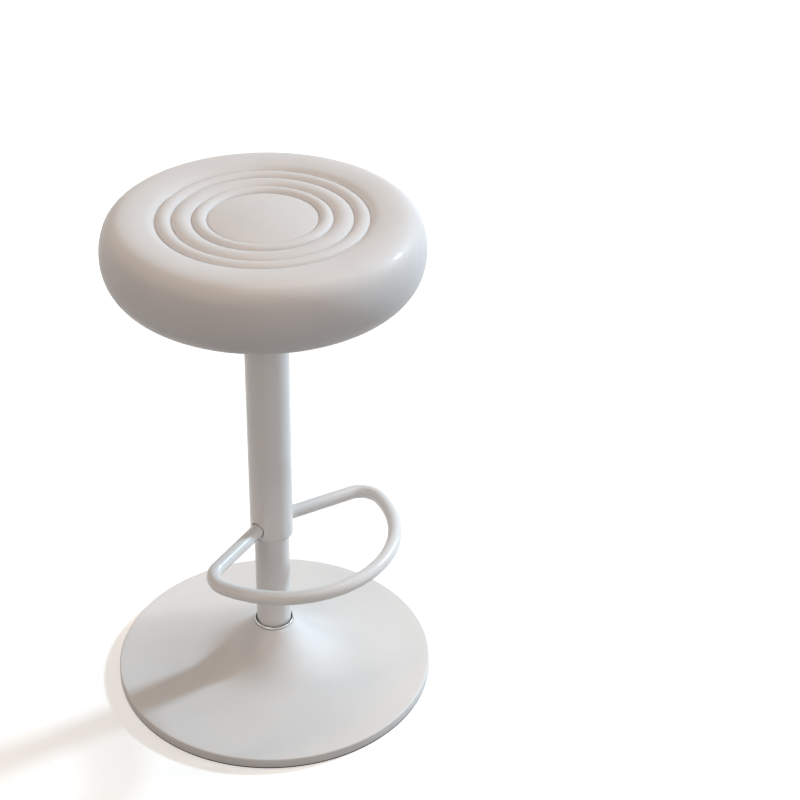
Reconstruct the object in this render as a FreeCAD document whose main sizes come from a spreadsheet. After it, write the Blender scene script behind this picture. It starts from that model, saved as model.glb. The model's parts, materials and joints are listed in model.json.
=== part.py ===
import FreeCAD, Part
import math
import os
import re
import Sketcher

# Height-adjustable bar stool, millimetres, +Z up. The origin is on the floor at the
# column axis and the footrest loop points to -Y. The seat is at its lowest.

doc = FreeCAD.newDocument("bar_stool")
sheet = doc.addObject("Spreadsheet::Sheet", "sizes")
parts = []

# Driving dimensions, one group for each region of the stool
BASE_SIZES = {
    "rim_radius": 200.0,
    "rim_height": 9.9,
    "rim_bottom": 2.0,
    "rim_round": 4.0,
    "dish_wall": 2.0,
    "rim_slope": 2.5,
    "join_slope": 9.0,
    "join_radius": 105.0,
    "neck_slope": 57.0,
    "neck_radius": 26.0,
    "floor_ring_width": 13.6,
    "floor_ring_height": 3.6,
    "floor_ring_gap": 0.4,
    "ballast_thickness": 4.0,
    "ballast_margin": 4.0,
    "ballast_bore": 12.0,
    "flange_radius": 48.0,
    "flange_thickness": 5.0,
    "base_screw_circle": 36.0,
    "base_screw_radius": 4.0,
    "base_screw_head_radius": 7.0,
    "base_screw_head_height": 2.7,
    "base_screw_tip": 2.0,
    "base_screw_count": 4,
    "collar_radius": 24.7,
    "collar_height": 4.1,
    "collar_lip": 2.2,
}
COLUMN_SIZES = {
    "stand_tube_radius": 21.6,
    "stand_tube_wall": 1.5,
    "end_plug_rise": 8.4,
    "end_plug_thickness": 6.0,
    "race_radius": 14.0,
    "race_thickness": 2.0,
    "ball_radius": 2.4,
    "ball_circle": 9.6,
    "ball_gap": 0.02,
    "ball_count": 8,
    "cage_width": 7.6,
    "cage_thickness": 2.0,
    "bump_radius": 12.5,
    "bump_height": 30.0,
    "bump_straight": 18.0,
    "bump_taper": 2.5,
    "rod_radius": 5.0,
    "rod_tip_radius": 4.1,
    "rod_foot_length": 3.0,
    "rod_head_length": 2.0,
    "stroke_margin": 1.0,
    "clip_radius": 7.5,
    "clip_thickness": 1.0,
    "clip_groove": 0.7,
    "cylinder_radius": 14.0,
    "cylinder_bore": 12.5,
    "cylinder_lip": 2.0,
    "cylinder_cap": 4.0,
    "valve_radius": 10.5,
    "taper_length": 38.0,
    "taper_top_radius": 13.2,
    "rod_guide_length": 20.0,
    "rod_seal_length": 8.0,
    "piston_length": 14.0,
    "piston_seal_height": 4.0,
    "piston_seal_depth": 1.8,
    "lift_stroke": 200.0,
    "bush_length": 70.0,
    "bush_flange": 3.0,
    "sleeve_bottom": 210.0,
    "sleeve_length": 315.0,
    "sleeve_radius": 26.4,
    "sleeve_wall": 1.5,
    "sleeve_edge_round": 0.5,
    "end_ring_height": 5.6,
    "guide_ring_height": 35.0,
    "top_ring_height": 8.0,
    "top_ring_drop": 4.0,
    "top_clearance": 3.0,
}
FOOTREST_SIZES = {
    "bar_radius": 8.5,
    "bar_wall": 1.5,
    "bar_rise": 15.2,
    "leg_angle": 74.6,
    "leg_offset": 4.4,
    "bend_radius": 27.4,
    "front_radius": 134.5,
    "front_centre": 25.6,
    "bar_hole_gap": 0.3,
}
LEVER_SIZES = {
    "lever_azimuth": 25.0,
    "socket_radius": 19.0,
    "socket_rise": 11.0,
    "cylinder_rise": 2.0,
    "pin_radius": 3.0,
    "pin_length": 35.0,
    "pin_rise": 5.0,
    "bracket_half_width": 27.0,
    "bracket_wall": 2.5,
    "bracket_height": 29.5,
    "bracket_back": 30.0,
    "bracket_front": 46.0,
    "pivot_reach": 28.0,
    "pivot_radius": 2.5,
    "pivot_head_radius": 4.2,
    "pivot_head_height": 1.5,
    "pivot_boss_radius": 6.4,
    "pivot_boss_half": 9.0,
    "lever_rod_radius": 3.5,
    "lever_inner_end": 3.0,
    "lever_bend_start": 40.0,
    "lever_bend_radius": 40.0,
    "lever_droop": 27.0,
    "lever_straight": 43.0,
    "handle_length": 76.0,
    "handle_thickness": 9.0,
    "handle_root_half": 5.8,
    "handle_root_reach": 18.0,
    "handle_root_round": 10.5,
    "handle_end_round": 12.6,
    "handle_waist_round": 60.0,
    "handle_edge_round": 2.4,
    "handle_grip_depth": 22.0,
}
SEAT_SIZES = {
    "plate_margin": 20.0,
    "plate_thickness": 2.5,
    "plate_corner": 18.0,
    "seat_screw_count": 4,
    "seat_screw_inset": 26.2,
    "seat_screw_radius": 3.0,
    "seat_screw_head_radius": 5.0,
    "seat_screw_head_height": 3.4,
    "seat_screw_length": 12.5,
    "nut_barrel_radius": 4.0,
    "nut_barrel_length": 9.0,
    "nut_flange_radius": 9.0,
    "nut_flange_thickness": 1.2,
    "board_inset": 11.9,
    "board_thickness": 12.0,
    "board_edge_round": 2.0,
    "cover_wall": 1.6,
    "cover_flap": 24.0,
    "seat_radius": 184.7,
    "bottom_round": 44.0,
    "lower_side_round": 64.0,
    "lower_side_turn": 16.0,
    "upper_side_round": 70.6,
    "upper_side_turn": 20.0,
    "top_round": 29.1,
    "shoulder_width": 15.1,
    "shoulder_slope": 5.7,
    "shoulder_fall_width": 17.5,
    "crease_depth": 7.2,
    "outer_ridge_width": 18.2,
    "middle_ridge_width": 22.8,
    "inner_ridge_width": 16.9,
    "ridge_rise": 3.8,
    "centre_rise": 3.2,
    "centre_edge_width": 16.0,
    "roof_thickness": 2.4,
}
FITS = {
    "weld_gap": 0.05,
    "running_gap": 0.05,
    "loose_gap": 0.2,
    "sleeve_gap": 0.1,
    "soft_gap": 0.3,
}
NAMES = set()


def fill_sheet(groups):
    row = 1
    for group in groups:
        for name, size in group.items():
            sheet.set(f"A{row}", name)
            sheet.set(f"B{row}", str(size))
            sheet.setAlias(f"B{row}", name)
            NAMES.add(name)
            row += 1
    doc.recompute()


fill_sheet([BASE_SIZES, COLUMN_SIZES, FOOTREST_SIZES, LEVER_SIZES, SEAT_SIZES, FITS])


def bound(text):
    """The expression with each size read from the sheet."""
    return re.sub(r"[a-z][a-z_0-9]*", lambda m: "sizes." + m[0] if m[0] in NAMES else m[0], text)


def number(text):
    """The present value of an expression."""
    result = sheet.evalExpression(bound(text))
    return float(getattr(result, "Value", result))


# Heights and radii that follow from the driving dimensions
RIM_LAND = "(rim_radius - rim_round)"
OUTER_SWEEP = f"(({RIM_LAND} - join_radius) / (sin(join_slope) - sin(rim_slope)))"
INNER_SWEEP = "((join_radius - neck_radius) / (sin(neck_slope) - sin(join_slope)))"
JOIN_Z = f"(rim_height + {OUTER_SWEEP} * (cos(rim_slope) - cos(join_slope)))"
NECK_Z = f"({JOIN_Z} + {INNER_SWEEP} * (cos(join_slope) - cos(neck_slope)))"
BALLAST_Z = "(floor_ring_height + ballast_thickness)"
TUBE_BORE = "(stand_tube_radius - stand_tube_wall)"
PLUG_Z = f"({BALLAST_Z} + end_plug_rise)"
PLUG_TOP = f"({PLUG_Z} + end_plug_thickness)"
BALL_Z = f"({PLUG_TOP} + race_thickness + ball_gap + ball_radius)"
UPPER_RACE_Z = f"({BALL_Z} + ball_radius + ball_gap)"
BEARING_TOP = f"({UPPER_RACE_Z} + race_thickness)"
CYLINDER_BOTTOM = f"({BEARING_TOP} + bump_height + soft_gap)"
GUIDE_Z = f"({CYLINDER_BOTTOM} + cylinder_lip)"
SEAL_Z = f"({GUIDE_Z} + rod_guide_length)"
PISTON_Z = f"({SEAL_Z} + rod_seal_length + lift_stroke + stroke_margin)"
ROD_TOP = f"({PISTON_Z} + piston_length)"
SLEEVE_BORE = "(sleeve_radius - sleeve_wall)"
SLEEVE_TOP = "(sleeve_bottom + sleeve_length)"
SOCKET_TOP = f"({SLEEVE_TOP} + socket_rise)"
SOCKET_Z = f"({SOCKET_TOP} - taper_length)"
CYLINDER_TOP = f"({SOCKET_TOP} + cylinder_rise)"
PIN_TOP = f"({CYLINDER_TOP} + pin_rise)"
LEVER_Z = f"({PIN_TOP} + 2 * running_gap + lever_rod_radius)"
TOP_RING_Z = f"({SOCKET_Z} - top_ring_drop - top_ring_height)"
TUBE_TOP = f"({TOP_RING_Z} - top_clearance - bush_flange)"
BAR_Z = "(sleeve_bottom + bar_rise)"
PLATE_Z = f"({SLEEVE_TOP} + bracket_height)"
SEAT_Z = f"({PLATE_Z} + plate_thickness)"
BOARD_Z = f"({SEAT_Z} + cover_wall)"
BOARD_TOP = f"({BOARD_Z} + board_thickness)"
EQUATOR_Z = f"({SEAT_Z} + bottom_round + (lower_side_round - bottom_round) * sin(lower_side_turn))"
BOTTOM_R = "(seat_radius - lower_side_round" \
    " + (lower_side_round - bottom_round) * cos(lower_side_turn))"
BOARD_R = f"({BOTTOM_R} - board_inset)"
OPENING_R = f"({BOARD_R} - cover_flap)"
SEAT_SCREW_R = f"({OPENING_R} - seat_screw_inset)"
SEAT_SCREW_X = f"({SEAT_SCREW_R} / sqrt(2))"
CREST_R = "(seat_radius - upper_side_round + (upper_side_round - top_round)" \
    " * cos(upper_side_turn))"
CREST_Z = f"({EQUATOR_Z} + (upper_side_round - top_round) * sin(upper_side_turn) + top_round)"
SHOULDER_R = f"({CREST_R} - shoulder_width)"
CREASE_R = f"({SHOULDER_R} - shoulder_fall_width)"
CREASE_Z = f"({CREST_Z} - crease_depth)"
HANDLE_NECK_X = "(lever_bend_start + lever_bend_radius * sin(lever_droop)" \
    " + lever_straight * cos(lever_droop))"
HANDLE_NECK_Z = f"({LEVER_Z} - lever_bend_radius * (1 - cos(lever_droop))" \
    " - lever_straight * sin(lever_droop))"


def new_body(name):
    body = doc.addObject("PartDesign::Body", name)
    body.Label = name
    parts.append(body)
    return body


def origin_feature(body, role):
    return next(item for item in body.Origin.OriginFeatures if item.Role == role)


def new_sketch(body, name, plane):
    sketch = body.newObject("Sketcher::SketchObject", name)
    sketch.AttachmentSupport = [(origin_feature(body, plane), "")]
    sketch.MapMode = "FlatFace"
    return sketch


def fix_point(sketch, geo, pos, x, y):
    """Tie a point to expressions for its two coordinates."""
    for kind, text, axis in (("DistanceX", x, -2), ("DistanceY", y, -1)):
        size = number(text)
        if abs(size) < 1e-7:
            sketch.addConstraint(Sketcher.Constraint("PointOnObject", geo, pos, axis))
        elif size > 0:
            index = sketch.addConstraint(Sketcher.Constraint(kind, -1, 1, geo, pos, size))
            sketch.setExpression(f"Constraints[{index}]", bound(text))
        else:
            index = sketch.addConstraint(Sketcher.Constraint(kind, geo, pos, -1, 1, -size))
            sketch.setExpression(f"Constraints[{index}]", bound(f"-({text})"))


def arc_between(start, end, radius, turn):
    """The short arc from start to end that turns left or right."""
    chord = end - start
    half = chord.Length / 2
    rise = math.sqrt(max(radius * radius - half * half, 0.0))
    left = FreeCAD.Vector(-chord.y, chord.x, 0).normalize()
    side = 1 if turn == "left" else -1
    centre = (start + end) * 0.5 + left * (rise * side)
    first, last = (start, end) if side > 0 else (end, start)
    low = math.atan2(first.y - centre.y, first.x - centre.x)
    high = math.atan2(last.y - centre.y, last.x - centre.x)
    circle = Part.Circle(centre, FreeCAD.Vector(0, 0, 1), radius)
    return Part.ArcOfCircle(circle, low, high if high > low else high + 2 * math.pi)


def draw_path(sketch, corners, closed):
    """Draw lines and arcs through corners. A corner is (x, y), or (x, y, radius, turn)
    when the edge that leaves it is an arc."""
    points = [FreeCAD.Vector(number(c[0]), number(c[1]), 0) for c in corners]
    count = len(corners) if closed else len(corners) - 1
    ends = []
    for i in range(count):
        corner, start, end = corners[i], points[i], points[(i + 1) % len(points)]
        if len(corner) == 2:
            geo = sketch.addGeometry(Part.LineSegment(start, end), False)
            ends.append((geo, 1, 2))
            continue
        arc = arc_between(start, end, number(corner[2]), corner[3])
        geo = sketch.addGeometry(arc, False)
        index = sketch.addConstraint(Sketcher.Constraint("Radius", geo, number(corner[2])))
        sketch.setExpression(f"Constraints[{index}]", bound(corner[2]))
        ends.append((geo, 1, 2) if corner[3] == "left" else (geo, 2, 1))
    for i in range(count):
        geo, first, last = ends[i]
        fix_point(sketch, geo, first, corners[i][0], corners[i][1])
        if i + 1 < count or closed:
            after, after_first, _ = ends[(i + 1) % count]
            sketch.addConstraint(Sketcher.Constraint("Coincident", geo, last, after, after_first))
        else:
            fix_point(sketch, geo, last, corners[-1][0], corners[-1][1])


def draw_circle(sketch, x, y, radius):
    centre = FreeCAD.Vector(number(x), number(y), 0)
    circle = Part.Circle(centre, FreeCAD.Vector(0, 0, 1), number(radius))
    geo = sketch.addGeometry(circle, False)
    fix_point(sketch, geo, 3, x, y)
    index = sketch.addConstraint(Sketcher.Constraint("Radius", geo, number(radius)))
    sketch.setExpression(f"Constraints[{index}]", bound(radius))


def offset_sketch(sketch, x="0", y="0", z="0"):
    """Move a sketch off its plane, z along the plane's normal."""
    for axis, text in (("x", x), ("y", y), ("z", z)):
        sketch.setExpression(f"AttachmentOffset.Base.{axis}", bound(text))


def turned(name, corners):
    """A round piece turned about the column axis from a half section (radius, height)."""
    body = new_body(name)
    sketch = new_sketch(body, name + "_section", "XZ_Plane")
    draw_path(sketch, corners, True)
    turn = body.newObject("PartDesign::Revolution", name + "_turn")
    turn.Profile = sketch
    turn.ReferenceAxis = (sketch, ["V_Axis"])
    turn.Angle = 360
    return body


def ring(name, inner, outer, low, high):
    return turned(name, [(inner, low), (outer, low), (outer, high), (inner, high)])


def pad(body, sketch, name, length, both_sides=False):
    feature = body.newObject("PartDesign::Pad", name)
    feature.Profile = sketch
    feature.setExpression("Length", bound(length))
    feature.SideType = "Symmetric" if both_sides else "One side"
    return feature


def drill(body, sketch, name):
    """Cut a sketch right through the body, both ways from its plane."""
    feature = body.newObject("PartDesign::Pocket", name)
    feature.Profile = sketch
    feature.Type = "ThroughAll"
    feature.SideType = "Symmetric"
    return feature


def polar(body, feature, name, count):
    """Repeat a feature evenly about the column axis."""
    pattern = body.newObject("PartDesign::PolarPattern", name)
    pattern.Originals = [feature]
    pattern.Axis = (origin_feature(body, "Z_Axis"), [""])
    pattern.Angle = 360
    pattern.setExpression("Occurrences", bound(count))
    body.Tip = pattern
    return pattern


def round_edges(body, name, radius, chosen):
    """Round the edges of the body's tip for which chosen(edge) is true."""
    doc.recompute()
    base = body.Tip
    edges = [f"Edge{i + 1}" for i, edge in enumerate(base.Shape.Edges) if chosen(edge)]
    fillet = body.newObject("PartDesign::Fillet", name)
    fillet.Base = (base, edges)
    fillet.setExpression("Radius", bound(radius))
    return fillet


def repeated_turned(name, axis_x, corners, count):
    """Equal turned pieces that stand in a ring: one is turned about x = axis_x."""
    body = new_body(name)
    body.AllowCompound = True
    sketch = new_sketch(body, name + "_section", "XZ_Plane")
    low = FreeCAD.Vector(number(axis_x), 0, 0)
    axis = sketch.addGeometry(Part.LineSegment(low, low + FreeCAD.Vector(0, 10, 0)), True)
    fix_point(sketch, axis, 1, axis_x, "0")
    fix_point(sketch, axis, 2, axis_x, "10")
    draw_path(sketch, corners, True)
    turn = body.newObject("PartDesign::Revolution", name + "_turn")
    turn.Profile = sketch
    turn.ReferenceAxis = (sketch, ["Axis0"])
    turn.Angle = 360
    return polar(body, turn, name + "_ring", count)


def turn_about_column(body, angle):
    """Set a body down turned about the column axis by an angle in degrees."""
    body.Placement = FreeCAD.Placement(
        FreeCAD.Vector(0, 0, 0), FreeCAD.Rotation(FreeCAD.Vector(0, 0, 1), angle)
    )


# Base: painted dish over a ballast plate on a rubber ring


def make_base_dish():
    inner_end_r = "(neck_radius - dish_wall * sin(neck_slope))"
    inner_end_z = f"({NECK_Z} - dish_wall * cos(neck_slope))"
    mouth = "(stand_tube_radius + 2 * weld_gap)"
    turned("base_dish", [
        ("rim_radius - dish_wall", "rim_bottom"),
        ("rim_radius", "rim_bottom"),
        ("rim_radius", "rim_height - rim_round", "rim_round", "left"),
        (RIM_LAND, "rim_height", OUTER_SWEEP, "right"),
        ("join_radius", JOIN_Z, INNER_SWEEP, "right"),
        ("neck_radius", NECK_Z),
        (mouth, NECK_Z),
        (mouth, f"{NECK_Z} - dish_wall"),
        (inner_end_r, inner_end_z, f"{INNER_SWEEP} + dish_wall", "left"),
        ("join_radius - dish_wall * sin(join_slope)", f"{JOIN_Z} - dish_wall * cos(join_slope)",
         f"{OUTER_SWEEP} + dish_wall", "left"),
        (RIM_LAND, "rim_height - dish_wall", "rim_round - dish_wall", "right"),
        ("rim_radius - dish_wall", "rim_height - rim_round"),
    ])


def make_floor_ring():
    outer = "rim_radius - dish_wall - floor_ring_gap"
    ring("floor_ring", f"{outer} - floor_ring_width", outer, "0", "floor_ring_height")


def make_ballast_plate():
    edge = "rim_radius - dish_wall - ballast_margin"
    body = ring("ballast_plate", "ballast_bore", edge, "floor_ring_height", BALLAST_Z)
    add_screw_holes(body)


def add_screw_holes(body):
    sketch = new_sketch(body, body.Label + "_holes", "XY_Plane")
    draw_circle(sketch, "base_screw_circle", "0", "base_screw_radius + running_gap")
    hole = drill(body, sketch, body.Label + "_hole")
    polar(body, hole, body.Label + "_hole_ring", "base_screw_count")


def make_base_flange():
    bore = "stand_tube_radius + weld_gap"
    high = f"{BALLAST_Z} + flange_thickness"
    body = ring("base_flange", bore, "flange_radius", BALLAST_Z, high)
    add_screw_holes(body)


def make_base_screws():
    x = "base_screw_circle"
    top = f"{BALLAST_Z} + flange_thickness + base_screw_tip"
    low = "floor_ring_height - base_screw_head_height"
    repeated_turned("base_screws", x, [
        (x, low),
        (f"{x} + base_screw_head_radius", low),
        (f"{x} + base_screw_head_radius", "floor_ring_height"),
        (f"{x} + base_screw_radius", "floor_ring_height"),
        (f"{x} + base_screw_radius", top),
        (x, top),
    ], "base_screw_count")


def make_column_collar():
    inner = "stand_tube_radius + weld_gap"
    top = f"{NECK_Z} + collar_height"
    turned("column_collar", [
        (inner, NECK_Z),
        ("collar_radius", NECK_Z),
        ("collar_radius", f"{top} - collar_lip / 2", "collar_lip / 2", "left"),
        ("collar_radius - collar_lip / 2", top),
        ("collar_radius - collar_lip", top),
        (inner, f"{top} - collar_lip / 2"),
    ])


# Stand tube with the swivel bearing at its foot and the cylinder bush at its mouth


def make_stand_tube():
    ring("stand_tube", TUBE_BORE, "stand_tube_radius", BALLAST_Z, TUBE_TOP)


def make_tube_end_plug():
    ring("tube_end_plug", "rod_tip_radius + loose_gap", f"{TUBE_BORE} - weld_gap",
         PLUG_Z, PLUG_TOP)


def make_thrust_bearing():
    ring("lower_race", "rod_radius + loose_gap", "race_radius", PLUG_TOP,
         f"{PLUG_TOP} + race_thickness")
    ring("upper_race", "rod_tip_radius + running_gap", "race_radius", UPPER_RACE_Z, BEARING_TOP)
    cage_low = f"{BALL_Z} - cage_thickness / 2"
    cage = ring("ball_cage", "ball_circle - cage_width / 2", "ball_circle + cage_width / 2",
                cage_low, f"{cage_low} + cage_thickness")
    sketch = new_sketch(cage, "cage_pockets", "XY_Plane")
    draw_circle(sketch, "ball_circle", "0", "ball_radius + running_gap")
    pocket = drill(cage, sketch, "cage_pocket")
    polar(cage, pocket, "cage_pocket_ring", "ball_count")
    repeated_turned("thrust_balls", "ball_circle", [
        ("ball_circle", f"{BALL_Z} - ball_radius", "ball_radius", "left"),
        ("ball_circle + ball_radius", BALL_Z, "ball_radius", "left"),
        ("ball_circle", f"{BALL_Z} + ball_radius"),
    ], "ball_count")


def make_stand_tube_bush():
    inner = "cylinder_radius + running_gap"
    barrel = f"{TUBE_BORE} - weld_gap"
    turned("stand_tube_bush", [
        (inner, f"{TUBE_TOP} - bush_length"),
        (barrel, f"{TUBE_TOP} - bush_length"),
        (barrel, TUBE_TOP),
        ("stand_tube_radius", TUBE_TOP),
        ("stand_tube_radius", f"{TUBE_TOP} + bush_flange"),
        (inner, f"{TUBE_TOP} + bush_flange"),
    ])


# Gas spring: the rod turns on the bearing and the cylinder rides up and down on it


def make_piston_rod():
    clip_top = f"{PLUG_Z} - soft_gap"
    clip_low = f"{clip_top} - clip_thickness - running_gap"
    neck = "rod_tip_radius - clip_groove"
    turned("piston_rod", [
        ("0", f"{clip_low} - rod_foot_length"),
        ("rod_tip_radius", f"{clip_low} - rod_foot_length"),
        ("rod_tip_radius", clip_low),
        (neck, clip_low),
        (neck, f"{clip_top} + running_gap"),
        ("rod_tip_radius", f"{clip_top} + running_gap"),
        ("rod_tip_radius", BEARING_TOP),
        ("rod_radius", BEARING_TOP),
        ("rod_radius", PISTON_Z),
        ("rod_tip_radius", PISTON_Z),
        ("rod_tip_radius", f"{ROD_TOP} + rod_head_length"),
        ("0", f"{ROD_TOP} + rod_head_length"),
    ])
    ring("rod_clip", f"{neck} + running_gap", "clip_radius", f"{clip_top} - clip_thickness",
         clip_top)


def make_bump_stop():
    inner = "rod_radius + running_gap"
    top = f"{BEARING_TOP} + bump_height"
    turned("bump_stop", [
        (inner, BEARING_TOP),
        ("bump_radius", BEARING_TOP),
        ("bump_radius", f"{BEARING_TOP} + bump_straight"),
        ("bump_radius - bump_taper", top),
        (inner, top),
    ])


def make_piston():
    bore = "rod_tip_radius + running_gap"
    outer = "cylinder_bore - loose_gap"
    seal_low = f"{PISTON_Z} + (piston_length - piston_seal_height) / 2"
    seal_high = f"{seal_low} + piston_seal_height"
    groove = f"{outer} - piston_seal_depth"
    turned("piston", [
        (bore, PISTON_Z),
        (outer, PISTON_Z),
        (outer, seal_low),
        (groove, seal_low),
        (groove, seal_high),
        (outer, seal_high),
        (outer, ROD_TOP),
        (bore, ROD_TOP),
    ])
    ring("piston_seal", f"{groove} + running_gap", "cylinder_bore - running_gap",
         f"{seal_low} + running_gap", f"{seal_high} - running_gap")


def make_gas_cylinder():
    turned("gas_cylinder", [
        ("rod_radius + cylinder_lip", CYLINDER_BOTTOM),
        ("cylinder_radius", CYLINDER_BOTTOM),
        ("cylinder_radius", SOCKET_Z),
        ("taper_top_radius", SOCKET_TOP),
        ("taper_top_radius", CYLINDER_TOP),
        ("pin_radius + loose_gap", CYLINDER_TOP),
        ("pin_radius + loose_gap", f"{CYLINDER_TOP} - cylinder_cap"),
        ("valve_radius", f"{CYLINDER_TOP} - cylinder_cap"),
        ("valve_radius", SOCKET_Z),
        ("cylinder_bore", SOCKET_Z),
        ("cylinder_bore", GUIDE_Z),
        ("rod_radius + cylinder_lip", GUIDE_Z),
    ])


def make_cylinder_internals():
    bore = "rod_radius + running_gap"
    ring("rod_guide", bore, "cylinder_bore - weld_gap", GUIDE_Z, SEAL_Z)
    ring("rod_seal", bore, "cylinder_bore - weld_gap", SEAL_Z, f"{SEAL_Z} + rod_seal_length")
    ring("valve_body", "pin_radius + running_gap", "valve_radius - weld_gap", SOCKET_Z,
         f"{CYLINDER_TOP} - cylinder_cap")
    turned("release_pin", [
        ("0", f"{PIN_TOP} - pin_length"),
        ("pin_radius", f"{PIN_TOP} - pin_length"),
        ("pin_radius", f"{PIN_TOP} - pin_radius", "pin_radius", "left"),
        ("0", PIN_TOP),
    ])


# Sliding sleeve that carries the footrest and hides the tube


def leg_length():
    """Distance along a footrest leg from its crossing of the loop axis to its bend."""
    across = "(leg_offset + front_centre)"
    side = f"(bend_radius * sin(leg_angle) - {across})"
    return (f"({across} * cos(leg_angle) + sqrt(({across} * cos(leg_angle))^2 - {side}^2"
            " - (bend_radius * cos(leg_angle))^2 + (front_radius - bend_radius)^2))")


def make_column_sleeve():
    low = "sleeve_bottom"
    edge = "sleeve_edge_round"
    body = turned("column_sleeve", [
        (SLEEVE_BORE, low),
        (f"sleeve_radius - {edge}", low, edge, "left"),
        ("sleeve_radius", f"{low} + {edge}"),
        ("sleeve_radius", SLEEVE_TOP),
        (SLEEVE_BORE, SLEEVE_TOP),
    ])
    tube = body.Tip
    turn_about_column(body, -90)
    angle = math.radians(number("leg_angle"))
    across = FreeCAD.Vector(-math.sin(angle), math.cos(angle), 0)
    sketch = new_sketch(body, "leg_hole", "XY_Plane")
    draw_circle(sketch, "0", "0", "bar_radius + bar_hole_gap")
    start = FreeCAD.Vector(-number("leg_offset"), 0, number(BAR_Z))
    sketch.AttachmentOffset = FreeCAD.Placement(start, FreeCAD.Rotation(across, 90))
    offset_sketch(sketch, x="-leg_offset", z=BAR_Z)
    hole = body.newObject("PartDesign::Pocket", "leg_hole_cut")
    hole.Profile = sketch
    hole.setExpression("Length", bound("2 * sleeve_radius"))
    hole.Reversed = True
    mirror = body.newObject("PartDesign::Mirrored", "leg_hole_pair")
    mirror.Originals = [hole]
    mirror.MirrorPlane = (origin_feature(body, "XZ_Plane"), [""])
    body.Tip = mirror
    doc.recompute()
    if mirror.Shape.Volume >= tube.Shape.Volume:
        raise RuntimeError("the leg holes cut nothing")


def make_sleeve_rings():
    inner = "stand_tube_radius + sleeve_gap"
    outer = f"{SLEEVE_BORE} - weld_gap"
    end_low = "sleeve_bottom + sleeve_edge_round"
    ring("sleeve_end_ring", inner, outer, end_low, f"{end_low} + end_ring_height")
    guide_low = f"{BAR_Z} + bar_radius + end_ring_height + bar_hole_gap"
    ring("sleeve_guide_ring", inner, outer, guide_low, f"{guide_low} + guide_ring_height")
    ring("sleeve_top_ring", "cylinder_radius + weld_gap", outer, TOP_RING_Z,
         f"{TOP_RING_Z} + top_ring_height")


def make_footrest_bar():
    body = new_body("footrest_bar")
    turn_about_column(body, -90)
    leg = leg_length()
    bend_x = f"(-leg_offset + {leg} * cos(leg_angle) + bend_radius * sin(leg_angle))"
    bend_y = f"({leg} * sin(leg_angle) - bend_radius * cos(leg_angle))"
    share = "(front_radius / (front_radius - bend_radius))"
    path = new_sketch(body, "footrest_path", "XY_Plane")
    offset_sketch(path, z=BAR_Z)
    inside = "(sleeve_radius - 2 * sleeve_wall)"
    draw_path(path, [
        ("front_centre + front_radius", "0", "front_radius", "left"),
        (f"front_centre + {share} * ({bend_x} - front_centre)", f"{share} * {bend_y}",
         "bend_radius", "left"),
        (f"-leg_offset + {leg} * cos(leg_angle)", f"{leg} * sin(leg_angle)"),
        (f"-leg_offset + {inside} * cos(leg_angle)", f"{inside} * sin(leg_angle)"),
    ], False)
    section = new_sketch(body, "footrest_section", "XZ_Plane")
    draw_circle(section, "front_centre + front_radius", BAR_Z, "bar_radius")
    draw_circle(section, "front_centre + front_radius", BAR_Z, "bar_radius - bar_wall")
    pipe = body.newObject("PartDesign::AdditivePipe", "footrest_half")
    pipe.Profile = section
    pipe.Spine = (path, [])
    mirror = body.newObject("PartDesign::Mirrored", "footrest_pair")
    mirror.Originals = [pipe]
    mirror.MirrorPlane = (origin_feature(body, "XZ_Plane"), [""])
    body.Tip = mirror
    trim = new_sketch(body, "footrest_trim", "XY_Plane")
    draw_circle(trim, "0", "0", SLEEVE_BORE)
    drill(body, trim, "footrest_end_trim")


# Seat mechanism: taper socket, bracket and release lever


def make_taper_socket():
    turned("taper_socket", [
        ("cylinder_radius + weld_gap", SOCKET_Z),
        ("socket_radius", SOCKET_Z),
        ("socket_radius", SOCKET_TOP),
        ("taper_top_radius + weld_gap", SOCKET_TOP),
    ])


def make_lever_bracket():
    body = new_body("lever_bracket")
    turn_about_column(body, number("lever_azimuth"))
    outer = "bracket_half_width"
    inner = "(bracket_half_width - bracket_wall)"
    web_top = f"{SLEEVE_TOP} + bracket_wall"
    section = new_sketch(body, "bracket_section", "YZ_Plane")
    offset_sketch(section, z="-bracket_back")
    draw_path(section, [
        (f"-{outer}", SLEEVE_TOP),
        (outer, SLEEVE_TOP),
        (outer, PLATE_Z),
        (inner, PLATE_Z),
        (inner, web_top),
        (f"-{inner}", web_top),
        (f"-{inner}", PLATE_Z),
        (f"-{outer}", PLATE_Z),
    ], True)
    pad(body, section, "bracket_channel", "bracket_back + bracket_front")
    socket_hole = new_sketch(body, "bracket_socket_hole", "XY_Plane")
    draw_circle(socket_hole, "0", "0", "socket_radius + weld_gap")
    drill(body, socket_hole, "bracket_socket_cut")
    pivot_hole = new_sketch(body, "bracket_pivot_hole", "XZ_Plane")
    draw_circle(pivot_hole, "pivot_reach", LEVER_Z, "pivot_radius + running_gap")
    drill(body, pivot_hole, "bracket_pivot_cut")


def make_lever_pivot_pin():
    body = new_body("lever_pivot_pin")
    turn_about_column(body, number("lever_azimuth"))
    shank = new_sketch(body, "pivot_shank", "XZ_Plane")
    draw_circle(shank, "pivot_reach", LEVER_Z, "pivot_radius")
    offset_sketch(shank, z="-(bracket_half_width + pivot_head_height)")
    pad(body, shank, "pivot_shank_pad", "2 * bracket_half_width + 2 * pivot_head_height")
    head = new_sketch(body, "pivot_head", "XZ_Plane")
    draw_circle(head, "pivot_reach", LEVER_Z, "pivot_head_radius")
    offset_sketch(head, z="bracket_half_width")
    pad(body, head, "pivot_head_pad", "pivot_head_height")


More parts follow.
